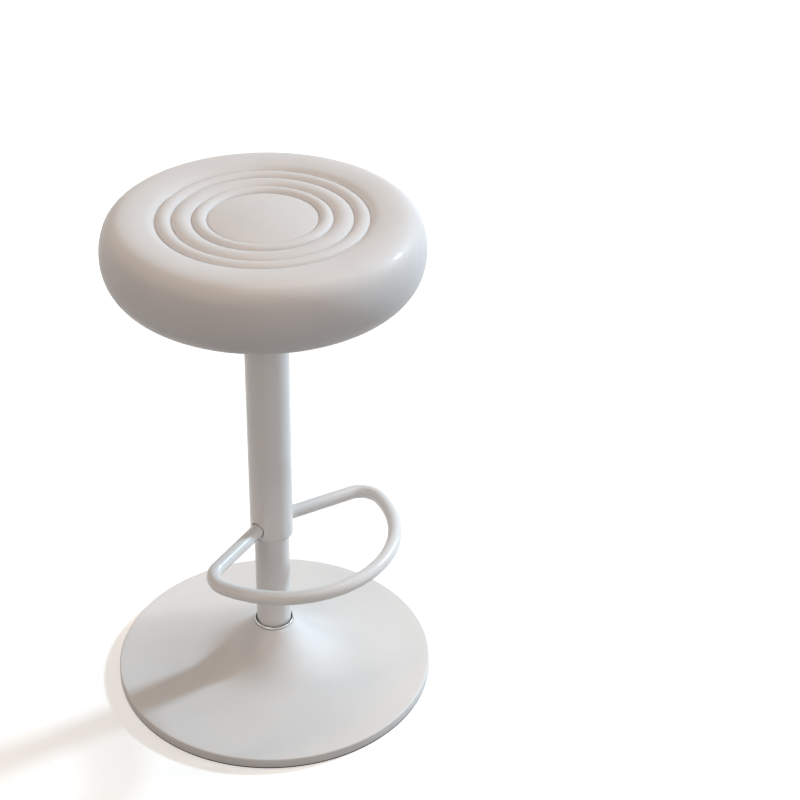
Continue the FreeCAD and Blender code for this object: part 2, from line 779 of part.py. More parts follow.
def make_lever_rod():
    body = new_body("lever_rod")
    turn_about_column(body, number("lever_azimuth"))
    path = new_sketch(body, "lever_path", "XZ_Plane")
    grip = "(handle_grip_depth - soft_gap)"
    draw_path(path, [
        ("-lever_inner_end", LEVER_Z),
        ("lever_bend_start", LEVER_Z, "lever_bend_radius", "right"),
        ("lever_bend_start + lever_bend_radius * sin(lever_droop)",
         f"{LEVER_Z} - lever_bend_radius * (1 - cos(lever_droop))"),
        (f"{HANDLE_NECK_X} + {grip} * cos(lever_droop)",
         f"{HANDLE_NECK_Z} - {grip} * sin(lever_droop)"),
    ], False)
    section = new_sketch(body, "lever_section", "YZ_Plane")
    offset_sketch(section, z="-lever_inner_end")
    draw_circle(section, "0", LEVER_Z, "lever_rod_radius")
    pipe = body.newObject("PartDesign::AdditivePipe", "lever_bend")
    pipe.Profile = section
    pipe.Spine = (path, [])
    boss = new_sketch(body, "lever_boss", "XZ_Plane")
    draw_circle(boss, "pivot_reach", LEVER_Z, "pivot_boss_radius")
    pad(body, boss, "lever_boss_pad", "2 * pivot_boss_half", both_sides=True)
    hole = new_sketch(body, "lever_boss_hole", "XZ_Plane")
    draw_circle(hole, "pivot_reach", LEVER_Z, "pivot_radius + running_gap")
    drill(body, hole, "lever_boss_cut")


def make_lever_handle():
    """Flat paddle grip with a waist, its neck at the local origin and its length along +X."""
    body = new_body("lever_handle")
    root_x, root_r = "handle_root_reach", "handle_root_round"
    end_r = "handle_end_round"
    end_x = f"(handle_length - {end_r})"
    waist = "handle_waist_round"
    span = f"({end_x} - {root_x})"
    waist_x = (f"({root_x} + ({span}^2 + ({root_r} + {waist})^2 - ({end_r} + {waist})^2)"
               f" / (2 * {span}))")
    waist_y = f"sqrt(({root_r} + {waist})^2 - ({waist_x} - {root_x})^2)"
    root_share = f"({root_r} / ({root_r} + {waist}))"
    end_share = f"({end_r} / ({end_r} + {waist}))"
    meet_x = f"({root_x} - sqrt({root_r}^2 - handle_root_half^2))"
    outline = [
        ("0", "handle_root_half"),
        (meet_x, "handle_root_half", root_r, "right"),
        (f"{root_x} + {root_share} * ({waist_x} - {root_x})", f"{root_share} * {waist_y}",
         waist, "left"),
        (f"{end_x} + {end_share} * ({waist_x} - {end_x})", f"{end_share} * {waist_y}",
         end_r, "right"),
        ("handle_length", "0", end_r, "right"),
        (f"{end_x} + {end_share} * ({waist_x} - {end_x})", f"-({end_share} * {waist_y})",
         waist, "left"),
        (f"{root_x} + {root_share} * ({waist_x} - {root_x})", f"-({root_share} * {waist_y})",
         root_r, "right"),
        (meet_x, "-handle_root_half"),
        ("0", "-handle_root_half"),
    ]
    sketch = new_sketch(body, "handle_outline", "XY_Plane")
    draw_path(sketch, outline, True)
    pad(body, sketch, "handle_pad", "handle_thickness", both_sides=True)
    half = number("handle_thickness") / 2
    round_edges(body, "handle_rounding", "handle_edge_round", lambda edge: is_level(edge, half))
    bore = new_sketch(body, "handle_bore", "YZ_Plane")
    draw_circle(bore, "0", "0", "lever_rod_radius + weld_gap")
    cut = body.newObject("PartDesign::Pocket", "handle_bore_cut")
    cut.Profile = bore
    cut.setExpression("Length", bound("handle_grip_depth"))
    cut.Reversed = True
    doc.recompute()
    azimuth = FreeCAD.Rotation(FreeCAD.Vector(0, 0, 1), number("lever_azimuth"))
    droop = FreeCAD.Rotation(FreeCAD.Vector(0, 1, 0), number("lever_droop"))
    neck = FreeCAD.Vector(number(HANDLE_NECK_X), 0, number(HANDLE_NECK_Z))
    body.Placement = FreeCAD.Placement(azimuth.multVec(neck), azimuth.multiply(droop))


def is_level(edge, half):
    """True for an edge that lies flat at z = half or z = -half."""
    box = edge.BoundBox
    return box.ZLength < 1e-6 and abs(abs(box.ZMin) - half) < 1e-6 and box.XMax > 1e-3


# Seat: plate, screws and nuts, board, foam, stretched cover and dust cover


def make_seat_plate():
    body = new_body("seat_plate")
    half, corner = f"({SEAT_SCREW_X} + plate_margin)", "plate_corner"
    flat = f"({half} - {corner})"
    sketch = new_sketch(body, "plate_outline", "XY_Plane")
    offset_sketch(sketch, z=PLATE_Z)
    draw_path(sketch, [
        (flat, f"-{half}", corner, "left"),
        (half, f"-{flat}"),
        (half, flat, corner, "left"),
        (flat, half),
        (f"-{flat}", half, corner, "left"),
        (f"-{half}", flat),
        (f"-{half}", f"-{flat}", corner, "left"),
        (f"-{flat}", f"-{half}"),
    ], True)
    pad(body, sketch, "plate_pad", "plate_thickness")
    holes = new_sketch(body, "plate_holes", "XY_Plane")
    draw_circle(holes, SEAT_SCREW_X, SEAT_SCREW_X, "seat_screw_radius + running_gap")
    hole = drill(body, holes, "plate_hole")
    polar(body, hole, "plate_hole_ring", "seat_screw_count")


def screw_ring(name, corners):
    """Turned pieces on the seat's screw circle, the first on a corner of the plate."""
    repeated_turned(name, SEAT_SCREW_R, corners, "seat_screw_count")
    turn_about_column(parts[-1], 45)


def make_seat_screws():
    x = SEAT_SCREW_R
    low = f"{PLATE_Z} - seat_screw_head_height"
    top = f"{SEAT_Z} + seat_screw_length"
    screw_ring("seat_screws", [
        (x, low),
        (f"{x} + seat_screw_head_radius", low),
        (f"{x} + seat_screw_head_radius", PLATE_Z),
        (f"{x} + seat_screw_radius", PLATE_Z),
        (f"{x} + seat_screw_radius", top),
        (x, top),
    ])


def make_tee_nuts():
    x = SEAT_SCREW_R
    bore = f"{x} + seat_screw_radius + running_gap"
    flange_low = f"{BOARD_TOP} - nut_flange_thickness"
    screw_ring("tee_nuts", [
        (bore, f"{BOARD_TOP} - nut_barrel_length"),
        (f"{x} + nut_barrel_radius", f"{BOARD_TOP} - nut_barrel_length"),
        (f"{x} + nut_barrel_radius", flange_low),
        (f"{x} + nut_flange_radius", flange_low),
        (f"{x} + nut_flange_radius", BOARD_TOP),
        (bore, BOARD_TOP),
    ])


def make_seat_board():
    edge = "board_edge_round"
    body = turned("seat_board", [
        ("0", BOARD_Z),
        (f"{BOARD_R} - {edge}", BOARD_Z, edge, "left"),
        (BOARD_R, f"{BOARD_Z} + {edge}"),
        (BOARD_R, f"{BOARD_TOP} - {edge}", edge, "left"),
        (f"{BOARD_R} - {edge}", BOARD_TOP),
        ("0", BOARD_TOP),
    ])
    add_seat_holes(body, "board_hole", "nut_barrel_radius + running_gap", SEAT_Z)
    recess = "nut_flange_radius + running_gap"
    add_seat_holes(body, "board_recess", recess, f"{BOARD_TOP} - nut_flange_thickness")


def add_seat_holes(body, name, radius, low):
    """Cut a hole upwards from a height at each seat screw."""
    sketch = new_sketch(body, name + "_sketch", "XY_Plane")
    offset_sketch(sketch, z=low)
    draw_circle(sketch, SEAT_SCREW_X, SEAT_SCREW_X, radius)
    hole = body.newObject("PartDesign::Pocket", name)
    hole.Profile = sketch
    hole.setExpression("Length", bound("2 * board_thickness"))
    hole.Reversed = True
    polar(body, hole, name + "_ring", "seat_screw_count")


def make_dust_cover():
    outer = f"{OPENING_R} - soft_gap"
    body = ring("dust_cover", "bracket_half_width", outer, SEAT_Z, BOARD_Z)
    add_seat_holes(body, "dust_cover_hole", "seat_screw_radius + loose_gap",
                   f"{SEAT_Z} - cover_wall")


def side_section(inset):
    """The round side of the seat from its underside to its crest, set in by an amount."""
    lower = f"(lower_side_round - {inset})"
    upper = f"(upper_side_round - {inset})"
    return [
        (BOTTOM_R, f"{SEAT_Z} + {inset}", f"bottom_round - {inset}", "left"),
        (f"seat_radius - lower_side_round + {lower} * cos(lower_side_turn)",
         f"{EQUATOR_Z} - {lower} * sin(lower_side_turn)", lower, "left"),
        (f"seat_radius - {inset}", EQUATOR_Z, upper, "left"),
        (f"seat_radius - upper_side_round + {upper} * cos(upper_side_turn)",
         f"{EQUATOR_Z} + {upper} * sin(upper_side_turn)", f"top_round - {inset}", "left"),
        (CREST_R, f"{CREST_Z} - {inset}"),
    ]


def ridge_radius(width):
    return f"((({width}) / 2)^2 + ridge_rise^2) / (2 * ridge_rise)"


def top_section():
    """The top from the crest to the axis: shoulder, three ridges and the centre disc."""
    flat_radius = "(shoulder_width / sin(shoulder_slope))"
    shoulder_z = f"({CREST_Z} - {flat_radius} * (1 - cos(shoulder_slope)))"
    drop = f"({shoulder_z} - {CREASE_Z})"
    end_slope = f"(2 * atan({drop} / shoulder_fall_width) - shoulder_slope * 1deg)"
    slope_radius = f"(shoulder_fall_width / (sin({end_slope}) - sin(shoulder_slope)))"
    first = CREASE_R
    second = f"({first} - outer_ridge_width)"
    third = f"({second} - middle_ridge_width)"
    fourth = f"({third} - inner_ridge_width)"
    centre_edge = "(centre_edge_width^2 + centre_rise^2) / (2 * centre_rise)"
    return [
        (CREST_R, CREST_Z, flat_radius, "left"),
        (SHOULDER_R, shoulder_z, slope_radius, "left"),
        (first, CREASE_Z, ridge_radius("outer_ridge_width"), "left"),
        (second, CREASE_Z, ridge_radius("middle_ridge_width"), "left"),
        (third, CREASE_Z, ridge_radius("inner_ridge_width"), "left"),
        (fourth, CREASE_Z, centre_edge, "left"),
        (f"{fourth} - centre_edge_width", f"{CREASE_Z} + centre_rise"),
        ("0", f"{CREASE_Z} + centre_rise"),
    ]


def roof_section(inset):
    """The underside of the cover's top, from the crest to the axis."""
    roof = f"({CREASE_Z} - roof_thickness - {inset} + cover_wall)"
    return [
        (f"{SHOULDER_R} + roof_thickness", f"{CREST_Z} - {inset} - roof_thickness / 2"),
        (f"{CREASE_R} + 2 * roof_thickness", roof),
        ("0", roof),
    ]


def make_seat_cover():
    outside = side_section("0")[:-1] + top_section()
    inside = side_section("cover_wall") + roof_section("cover_wall")
    turned("seat_cover", [(OPENING_R, SEAT_Z)] + outside + reversed_path(inside)
           + [(OPENING_R, BOARD_Z)])


def reversed_path(corners):
    """The same corners and arcs, travelled the other way."""
    swap = {"left": "right", "right": "left"}
    result = []
    for i in range(len(corners) - 1, -1, -1):
        before = corners[i - 1] if i > 0 else ()
        corner = corners[i][:2]
        result.append(corner + (before[2], swap[before[3]]) if len(before) == 4 else corner)
    return result


def make_seat_foam():
    inset = "(cover_wall + soft_gap)"
    recess = f"{BOARD_R} + soft_gap"
    turned("seat_foam", [(recess, f"{SEAT_Z} + {inset}")] + side_section(inset)
           + roof_section(inset) + [("0", f"{BOARD_TOP} + soft_gap"),
                                    (recess, f"{BOARD_TOP} + soft_gap")])


def build_all():
    make_base_dish()
    make_floor_ring()
    make_ballast_plate()
    make_base_flange()
    make_base_screws()
    make_column_collar()
    make_stand_tube()
    make_tube_end_plug()
    make_thrust_bearing()
    make_stand_tube_bush()
    make_piston_rod()
    make_bump_stop()
    make_piston()
    make_gas_cylinder()
    make_cylinder_internals()
    make_column_sleeve()
    make_sleeve_rings()
    make_footrest_bar()
    make_taper_socket()
    make_lever_bracket()
    make_lever_pivot_pin()
    make_lever_rod()
    make_lever_handle()
    make_seat_plate()
    make_seat_screws()
    make_tee_nuts()
    make_seat_board()
    make_dust_cover()
    make_seat_cover()
    make_seat_foam()


def check_document():
    """Stop if any object failed to recompute or any piece has no sound solid."""
    for item in doc.Objects:
        if "Invalid" in item.State or "Error" in item.State:
            raise RuntimeError(f"{item.Name} failed: {item.State}")
    for body in parts:
        shape = body.Shape
        if shape.isNull() or not shape.isValid() or not shape.Solids:
            raise RuntimeError(f"{body.Label} has no sound solid")


def write_parts():
    os.makedirs("parts", exist_ok=True)
    for body in parts:
        body.Shape.exportStep(f"parts/{body.Label}.step")


build_all()
doc.recompute()
check_document()
write_parts()
for piece in parts:
    box = piece.Shape.optimalBoundingBox(False, False)
    print(f"{piece.Label}: {len(piece.Shape.Solids)} solid(s), {piece.Shape.Volume:.0f} mm3,"
          f" z {box.ZMin:.2f} to {box.ZMax:.2f}")
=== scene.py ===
"""Height-adjustable bar stool: every piece's look, modelled round the packed frame.

Metres, +Z up, the origin on the floor at the column. The footrest points to -Y.
"""

import json
import math
import random

import bpy
from bpy.props import FloatProperty, FloatVectorProperty, IntProperty, PointerProperty
from mathutils import Matrix, Vector


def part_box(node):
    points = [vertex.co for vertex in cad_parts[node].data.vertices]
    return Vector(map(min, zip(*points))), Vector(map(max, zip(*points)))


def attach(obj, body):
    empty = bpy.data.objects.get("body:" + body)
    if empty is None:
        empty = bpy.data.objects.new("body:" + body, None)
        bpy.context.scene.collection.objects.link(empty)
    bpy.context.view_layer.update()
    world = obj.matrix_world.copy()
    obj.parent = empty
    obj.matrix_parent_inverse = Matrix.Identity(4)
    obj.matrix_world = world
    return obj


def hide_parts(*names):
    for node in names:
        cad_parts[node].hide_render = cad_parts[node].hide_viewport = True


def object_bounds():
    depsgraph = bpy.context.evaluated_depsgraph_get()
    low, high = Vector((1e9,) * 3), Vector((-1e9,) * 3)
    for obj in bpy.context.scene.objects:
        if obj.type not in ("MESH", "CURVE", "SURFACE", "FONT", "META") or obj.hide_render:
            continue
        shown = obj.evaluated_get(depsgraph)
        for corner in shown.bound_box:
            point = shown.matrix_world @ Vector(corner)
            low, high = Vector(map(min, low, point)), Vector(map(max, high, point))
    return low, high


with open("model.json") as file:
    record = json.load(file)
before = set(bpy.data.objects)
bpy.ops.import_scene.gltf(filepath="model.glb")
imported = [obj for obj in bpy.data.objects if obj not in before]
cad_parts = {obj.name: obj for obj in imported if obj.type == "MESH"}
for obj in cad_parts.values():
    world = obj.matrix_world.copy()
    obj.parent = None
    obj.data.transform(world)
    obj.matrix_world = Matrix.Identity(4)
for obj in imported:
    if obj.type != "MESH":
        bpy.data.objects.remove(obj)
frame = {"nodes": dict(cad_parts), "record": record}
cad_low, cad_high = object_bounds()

bl_info = {
    "name": "Bar stool",
    "version": (1, 0, 0),
    "blender": (4, 5, 0),
    "location": "View3D > Sidebar > Bar stool",
    "description": "Models the pieces, finishes and studio of a height-adjustable bar stool",
    "category": "Object",
}

FINISH_NAME = "stool_{}"
MERGE = 0.00001          # points that are closer than this become one
PLACE = 0.00005          # gap between pieces that nearly touch, and slack in a place
FIT = 0.0001             # clearance at the board and at the floor ring
EDGE = 0.0003            # rounding of an edge that is only broken
HOLD = 0.001             # margin round the places where cloth is held


# Places that come from the packed frame


def bottom(node):
    """Lowest height of a node."""
    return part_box(node)[0].z


def top(node):
    """Highest height of a node."""
    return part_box(node)[1].z


def reach(node):
    """Radius of a round node about the column."""
    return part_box(node)[1].x


SEAT_RADIUS = reach("seat_cover")
SEAT_BOTTOM = bottom("seat_cover")
BOARD_RADIUS = reach("seat_board")
BOARD_BOTTOM = bottom("seat_board")
BOARD_TOP = top("seat_board")
OPENING_RADIUS = reach("dust_cover")
PLATE_BOTTOM = bottom("seat_plate")
PLATE_HALF = reach("seat_plate")


# Settings that a user would change


def size(label, default, description):
    """A length in metres."""
    return FloatProperty(name=label, description=description, default=default,
                         precision=4, subtype="DISTANCE", unit="LENGTH")


def angle(label, degrees, description):
    """An angle that is given in degrees."""
    return FloatProperty(name=label, description=description, default=math.radians(degrees),
                         subtype="ANGLE", unit="ROTATION")


def colour(label, default, description):
    """A linear colour."""
    return FloatVectorProperty(name=label, description=description, default=default,
                               size=3, min=0.0, max=1.0, subtype="COLOR")


def share(label, default, description):
    """A plain number."""
    return FloatProperty(name=label, description=description, default=default, precision=3)


def count(label, default, description):
    """A whole number."""
    return IntProperty(name=label, description=description, default=default, min=1)


class STOOL_PG_seat(bpy.types.PropertyGroup):
    """Sizes of the cushion and of what is under it"""

    radius: size("Seat radius", SEAT_RADIUS, "From the column to the widest place of the side")
    bottom_round: size("Bottom round", 0.044, "Radius of the side where it turns under")
    lower_round: size("Lower side round", 0.064, "Radius of the side below its widest place")
    lower_turn: angle("Lower side turn", 16.0, "Turn of the side below its widest place")
    upper_round: size("Upper side round", 0.0706, "Radius of the side above its widest place")
    upper_turn: angle("Upper side turn", 20.0, "Turn of the side above its widest place")
    top_round: size("Top round", 0.0291, "Radius of the side where it turns over")
    shoulder_width: size("Shoulder width", 0.0200, "Nearly flat band inside the crest")
    shoulder_slope: angle("Shoulder slope", 5.7, "Slope at the shoulder's inner edge")
    fall_width: size("Shoulder fall", 0.0126, "Band that falls to the outer channel")
    channel_depth: size("Channel depth", 0.0062, "Depth of the channels below the crest")
    seam_half: size("Seam half width", 0.0009, "Half width of the sewn slot in a channel")
    seam_depth: size("Seam depth", 0.0021, "Depth of the sewn slot below its channel")
    outer_ridge: size("Outer ridge width", 0.0182, "Width of the outer ridge")
    middle_ridge: size("Middle ridge width", 0.0228, "Width of the middle ridge")
    inner_ridge: size("Inner ridge width", 0.0169, "Width of the inner ridge")
    ridge_rise: size("Ridge rise", 0.0036, "Height of a ridge above its channels")
    centre_rise: size("Centre rise", 0.0068, "Height of the centre disc above its channel")
    centre_dome: size("Centre dome", 0.0048, "Rise of the crowned disc inside its rounded edge")
    centre_edge: size("Centre edge", 0.008, "Width of the centre disc's rounded edge")
    pleat_count: count("Pleats", 34, "Gathers of the cover under the seat")
    pleat_depth: size("Pleat depth", 0.0011, "Depth of the gathers")
    pleat_reach: size("Pleat reach", 0.030, "How far the gathers run out from the dust cloth")
    staple_count: count("Staples", 34, "Staples round the dust cloth")
    staple_circle: size("Staple circle", 0.1085, "Radius of the ring of staples")
    cloth_radius: size("Dust cloth radius", 0.1125, "Radius of the cloth under the board")
    cloth_opening: size("Dust cloth opening", 0.028, "Radius of the cloth's middle hole")
    cloth_thickness: size("Dust cloth thickness", 0.0005, "Thickness of the cloth")
    steps: count("Steps round the seat", 112, "Faces round the cushion before it is smoothed")
    swell_frames: count("Swelling frames", 14, "Frames for which the cover is blown up")
    swell_limit: size("Swelling limit", 0.0012, "Farthest that the cover swells")
    sag_frames: count("Sagging frames", 14, "Frames for which the dust cloth hangs")
    sag_limit: size("Sagging limit", 0.0016, "Farthest that the dust cloth sags")


class STOOL_PG_base(bpy.types.PropertyGroup):
    """Sizes of the base"""

    radius: size("Base radius", reach("base_dish"), "Outer radius of the dish")
    rim_bottom: size("Rim bottom", bottom("base_dish"), "Height of the rim's lower edge")
    rim_height: size("Rim height", 0.0140, "Height where the rim meets the flare")
    rim_round: size("Rim round", 0.0018, "Radius of the rim's upper edge")
    wall: size("Dish wall", 0.002, "Thickness of the sheet")
    rim_slope: angle("Rim slope", 1.0, "Slope of the flare at the rim")
    join_slope: angle("Join slope", 6.49, "Slope where the flare tightens")
    join_radius: size("Join radius", 0.105, "Radius where the flare tightens")
    neck_slope: angle("Neck slope", 58.450, "Slope at the neck")
    neck_radius: size("Neck radius", 0.026, "Radius of the neck")
    mouth_radius: size("Mouth radius", 0.0217, "Radius of the hole that the tube passes")
    ring_width: size("Ring width", 0.0136, "Width of the floor ring")
    ring_lip: size("Ring lip", 0.0003, "How far the ring's lip is set back from the rim")
    groove_width: size("Ring groove width", 0.0012, "Width of the floor ring's grooves")
    groove_depth: size("Ring groove depth", 0.0008, "Depth of the floor ring's grooves")
    steps: count("Steps round the base", 224, "Faces round the dish")


class STOOL_PG_column(bpy.types.PropertyGroup):
    """Sizes of the column, its trims and the screws' sockets"""

    tube_radius: size("Tube radius", reach("stand_tube"), "Outer radius of the stand tube")
    sleeve_radius: size("Sleeve radius", reach("column_sleeve"), "Outer radius of the sleeve")
    wall: size("Tube wall", 0.0015, "Wall of both tubes")
    edge_round: size("Sleeve edge round", 0.0005, "Rounding of the sleeve's lower edge")
    groove_height: size("End groove height", 0.0012, "Height of the groove above that edge")
    groove_width: size("End groove width", 0.0009, "Width of the groove")
    groove_depth: size("End groove depth", 0.0011, "Depth of the groove")
    collar_radius: size("Collar radius", reach("column_collar"), "Outer radius of the collar")
    collar_lip: size("Collar lip", 0.0018, "Width of the collar's rounded top")
    collar_gap: size("Collar gap", 0.0015, "Gap between the collar and the tube")
    collar_cut: size("Collar undercut", 0.0016, "Cut under the collar's outer edge")
    collar_floor: size("Collar floor", 0.0004, "Thickness of the collar under that gap")
    # The ring in the collar's gap is black rubber that paints the gap's shade.
    seal_drop: size("Seal drop", 0.0010, "How far the seal in the gap is below the collar's top")
    screw_socket: size("Seat screw socket", 0.0052, "Hex socket of a seat screw, over corners")
    base_socket: size("Base screw socket", 0.00728, "Hex socket of a base screw, over corners")
    steps: count("Steps round the column", 160, "Faces round the tubes")


class STOOL_PG_footrest(bpy.types.PropertyGroup):
    """Sizes of the footrest loop"""

    bar_radius: size("Bar radius", 0.0085, "Radius of the bent tube")
    height: size("Bar height", (bottom("footrest_bar") + top("footrest_bar")) / 2,
                 "Height of the tube's middle")
    leg_angle: angle("Leg angle", 74.6, "Angle of each leg to the loop's axis")
    leg_offset: size("Leg offset", 0.0044, "How far behind the column the legs would cross")
    leg_start: size("Leg start", 0.0234, "Where a leg ends inside the sleeve's wall")
    bend_radius: size("Bend radius", 0.0274, "Radius of the two side bends")
    front_radius: size("Front radius", 0.1345, "Radius of the front bow")
    front_centre: size("Front centre", 0.0256, "How far in front of the column the bow is centred")
    hole_gap: size("Hole gap", 0.0012, "Gap round a leg in the sleeve's hole")


class STOOL_PG_lever(bpy.types.PropertyGroup):
    """Sizes of the release lever's grip"""

    azimuth: angle("Lever direction", 25.0, "Direction of the lever about the column")
    droop: angle("Lever droop", 27.0, "How far the grip points down")
    neck_reach: size("Neck reach", 0.09647, "Distance of the grip's neck from the column")
    neck_height: size("Neck height", 0.5227, "Height of the grip's neck")
    length: size("Grip length", 0.076, "Length of the grip")
    thickness: size("Grip thickness", 0.009, "Thickness of the grip")
    root_half: size("Neck half width", 0.0058, "Half the width of the neck")
    root_reach: size("Root reach", 0.018, "Where the inner swelling is centred")
    root_round: size("Root round", 0.0105, "Radius of the inner swelling")
    end_round: size("End round", 0.0126, "Radius of the outer swelling")
    waist_round: size("Waist round", 0.060, "Radius of the waist")
    edge_round: size("Edge round", 0.0024, "Rounding of the grip's edges")
    bore_radius: size("Bore radius", 0.00355, "Radius of the hole for the rod")
    bore_depth: size("Bore depth", 0.022, "Depth of the hole for the rod")


class STOOL_PG_finish(bpy.types.PropertyGroup):
    """Colours of the finishes"""

    paint: colour("Powder coat", (0.868, 0.851, 0.852), "Warm white of the base and column")
    leather: colour("Seat leather", (0.718, 0.702, 0.712), "Cream of the seat")
    bright: colour("Bright steel", (0.62, 0.615, 0.61), "Polished collar and rod")
    zinc: colour("Zinc", (0.62, 0.63, 0.65), "Zinc-plated fasteners")
    steel: colour("Plain steel", (0.50, 0.50, 0.50), "Machined steel")
    iron: colour("Cast iron", (0.10, 0.10, 0.105), "Ballast")
    black: colour("Black paint", (0.018, 0.018, 0.019), "Gas spring, bracket and plate")
    brass: colour("Brass", (0.78, 0.57, 0.28), "Valve")
    rubber: colour("Rubber", (0.022, 0.022, 0.022), "Floor ring and seals")
    dark_plastic: colour("Black plastic", (0.03, 0.03, 0.032), "Bushes")
    pale_plastic: colour("White plastic", (0.78, 0.77, 0.75), "Sleeve rings")
    grip: colour("Grip plastic", (0.33, 0.33, 0.335), "Lever grip")
    wood: colour("Plywood", (0.62, 0.44, 0.27), "Seat board")
    foam: colour("Foam", (0.80, 0.76, 0.62), "Seat foam")
    cloth: colour("Dust cloth", (0.022, 0.022, 0.024), "Cloth under the board")


class STOOL_PG_stage(bpy.types.PropertyGroup):
    """Camera, light and floor"""

    camera_place: FloatVectorProperty(name="Camera place", description="Where the camera stands",
                                      default=(-1.2295, -1.3904, 1.5829), size=3,
                                      subtype="TRANSLATION", unit="LENGTH")
    camera_forward: FloatVectorProperty(name="Camera direction", description="Where it looks",
                                        default=(0.6101, 0.5826, -0.5370), size=3,
                                        subtype="DIRECTION")
    camera_roll: angle("Camera roll", 1.0, "Tilt of the camera about its own axis")
    lens: share("Lens", 83.2, "Focal length in millimetres on a 36 mm sensor")
    key_azimuth: angle("Key direction", -15.0, "Direction of the main light about the column")
    key_height: angle("Key height", 29.0, "Height of the main light above the horizon")
    key_power: share("Key power", 440.0, "Power of the main light in watts")
    key_size: size("Key size", 0.7, "Width of the main light")
    key_colour: colour("Key colour", (0.66, 0.86, 1.0), "Cool white of the main light")
    strip_azimuth: angle("Strip direction", -4.0, "Direction of the strip light")
    strip_height: angle("Strip height", 74.0, "Height of the strip light above the horizon")
    strip_power: share("Strip power", 160.0, "Power of the strip light in watts")
    strip_width: size("Strip width", 0.2, "Width of the strip light")
    strip_length: size("Strip length", 5.2, "Length of the strip light")
    strip_turn: angle("Strip turn", -38.0, "Direction that the strip light runs in")
    strip_colour: colour("Strip colour", (1.0, 0.86, 0.72), "Warm white of the strip light")
    room_azimuth: angle("Room light direction", 192.0, "Direction of the warm light")
    room_height: angle("Room light height", 27.0, "Height of the warm light")
    room_power: share("Room light power", 90.0, "Power of the warm light in watts")
    room_size: size("Room light size", 3.0, "Width of the warm light")
    room_colour: colour("Room light colour", (1.0, 0.87, 0.78), "Warm white of that light")
    side_azimuth: angle("Side light direction", -58.0, "Direction of the light from the right")
    side_height: angle("Side light height", 12.0, "Height of the light from the right")
    side_power: share("Side light power", 85.0, "Power of the light from the right in watts")
    side_size: size("Side light size", 3.0, "Width of the light from the right")
    side_colour: colour("Side light colour", (0.90, 0.95, 1.0), "Cool white of that light")
    fill_azimuth: angle("Fill direction", 200.0, "Direction of the fill light")
    fill_height: angle("Fill height", 66.0, "Height of the fill light above the horizon")
    fill_power: share("Fill power", 40.0, "Power of the fill light in watts")
    fill_size: size("Fill size", 1.2, "Width of the fill light")
    fill_colour: colour("Fill colour", (1.0, 0.79, 0.60), "Warm white of the fill light")
    ceiling_power: share("Ceiling power", 104.0, "Power of the light overhead in watts")
    ceiling_size: size("Ceiling size", 11.0, "Width of the light overhead")
    ceiling_colour: colour("Ceiling colour", (1.0, 0.71, 0.44), "Colour of the light overhead")
    light_distance: size("Light distance", 8.0, "Distance of the lights from the stool")
    surround: share("Surround", 0.18, "Strength of the light from all sides")
    surround_colour: colour("Surround colour", (1.0, 0.95, 0.90), "Colour of that light")
    floor: colour("Floor", (0.90, 0.90, 0.90), "Colour of the floor")
    floor_bounce: colour("Floor bounce", (0.32, 0.31, 0.30), "Light that the floor sends back")
    floor_lift: share("Floor lift", 0.40, "How much brighter the floor looks than it is lit")
    floor_near: size("Floor shadow reach", 1.3, "Distance at which the floor starts to whiten")
    floor_far: size("Floor white reach", 4.0, "Distance at which the floor is white")
    floor_size: size("Floor size", 40.0, "Width of the floor")


# Modelling


def deselect_all():
    """Leave edit mode and deselect every object."""
    if bpy.context.mode != "OBJECT":
        bpy.ops.object.mode_set(mode="OBJECT")
    bpy.ops.object.select_all(action="DESELECT")


def make_active(piece):
    """Select one object alone."""
    deselect_all()
    piece.select_set(True)
    bpy.context.view_layer.objects.active = piece
    return piece


def named(name):
    """Name the object that was just added, and its mesh."""
    piece = bpy.context.object
    piece.name = name
    piece.data.name = name
    return piece


def arc(start, end, radius, steps):
    """Points after start up to end. The arc turns left, or right where the radius is negative."""
    start, end = Vector(start), Vector(end)
    chord = end - start
    side = math.copysign(1.0, radius)
    rise = math.sqrt(max(radius ** 2 - chord.length_squared / 4, 0.0))
    left = Vector((-chord.y, chord.x)).normalized()
    centre = (start + end) / 2 + left * side * rise
    turn = 2 * side * math.asin(min(chord.length / 2 / abs(radius), 1.0))
    turned = [Matrix.Rotation(turn * step / steps, 2) for step in range(1, steps + 1)]
    return [centre + rotation @ (start - centre) for rotation in turned]


def outline(*corners):
    """Points of an outline. A corner that also gives a radius and steps starts an arc."""
    points = []
    for corner, following in zip(corners, corners[1:]):
        points.append(Vector(corner[:2]))
        if len(corner) > 2:
            points += arc(corner[:2], following[:2], *corner[2:])[:-1]
    points.append(Vector(corners[-1][:2]))
    return points


def upright(points):
    """Outline points set up in the plane y = 0."""
    return [Vector((point.x, 0.0, point.y)) for point in points]


def level(points, height):
    """Outline points laid down at a height."""
    return [Vector((point.x, point.y, height)) for point in points]


def draw_chain(name, points):
    """Draw a chain of edges, point by point, and stay in edit mode."""
    deselect_all()
    bpy.ops.mesh.primitive_plane_add(size=MERGE)
    chain = named(name)
    bpy.ops.object.mode_set(mode="EDIT")
    bpy.ops.mesh.merge(type="CENTER")
    bpy.ops.transform.translate(value=points[0])
    for before, point in zip(points, points[1:]):
        bpy.ops.mesh.extrude_vertices_move(TRANSFORM_OT_translate={"value": point - before})
    return chain


def merge_and_turn_out():
    """Merge what meets and turn every face outwards, in edit mode, and leave it."""
    bpy.ops.mesh.select_all(action="SELECT")
    bpy.ops.mesh.remove_doubles(threshold=MERGE)
    bpy.ops.mesh.normals_make_consistent(inside=False)
    bpy.ops.object.mode_set(mode="OBJECT")


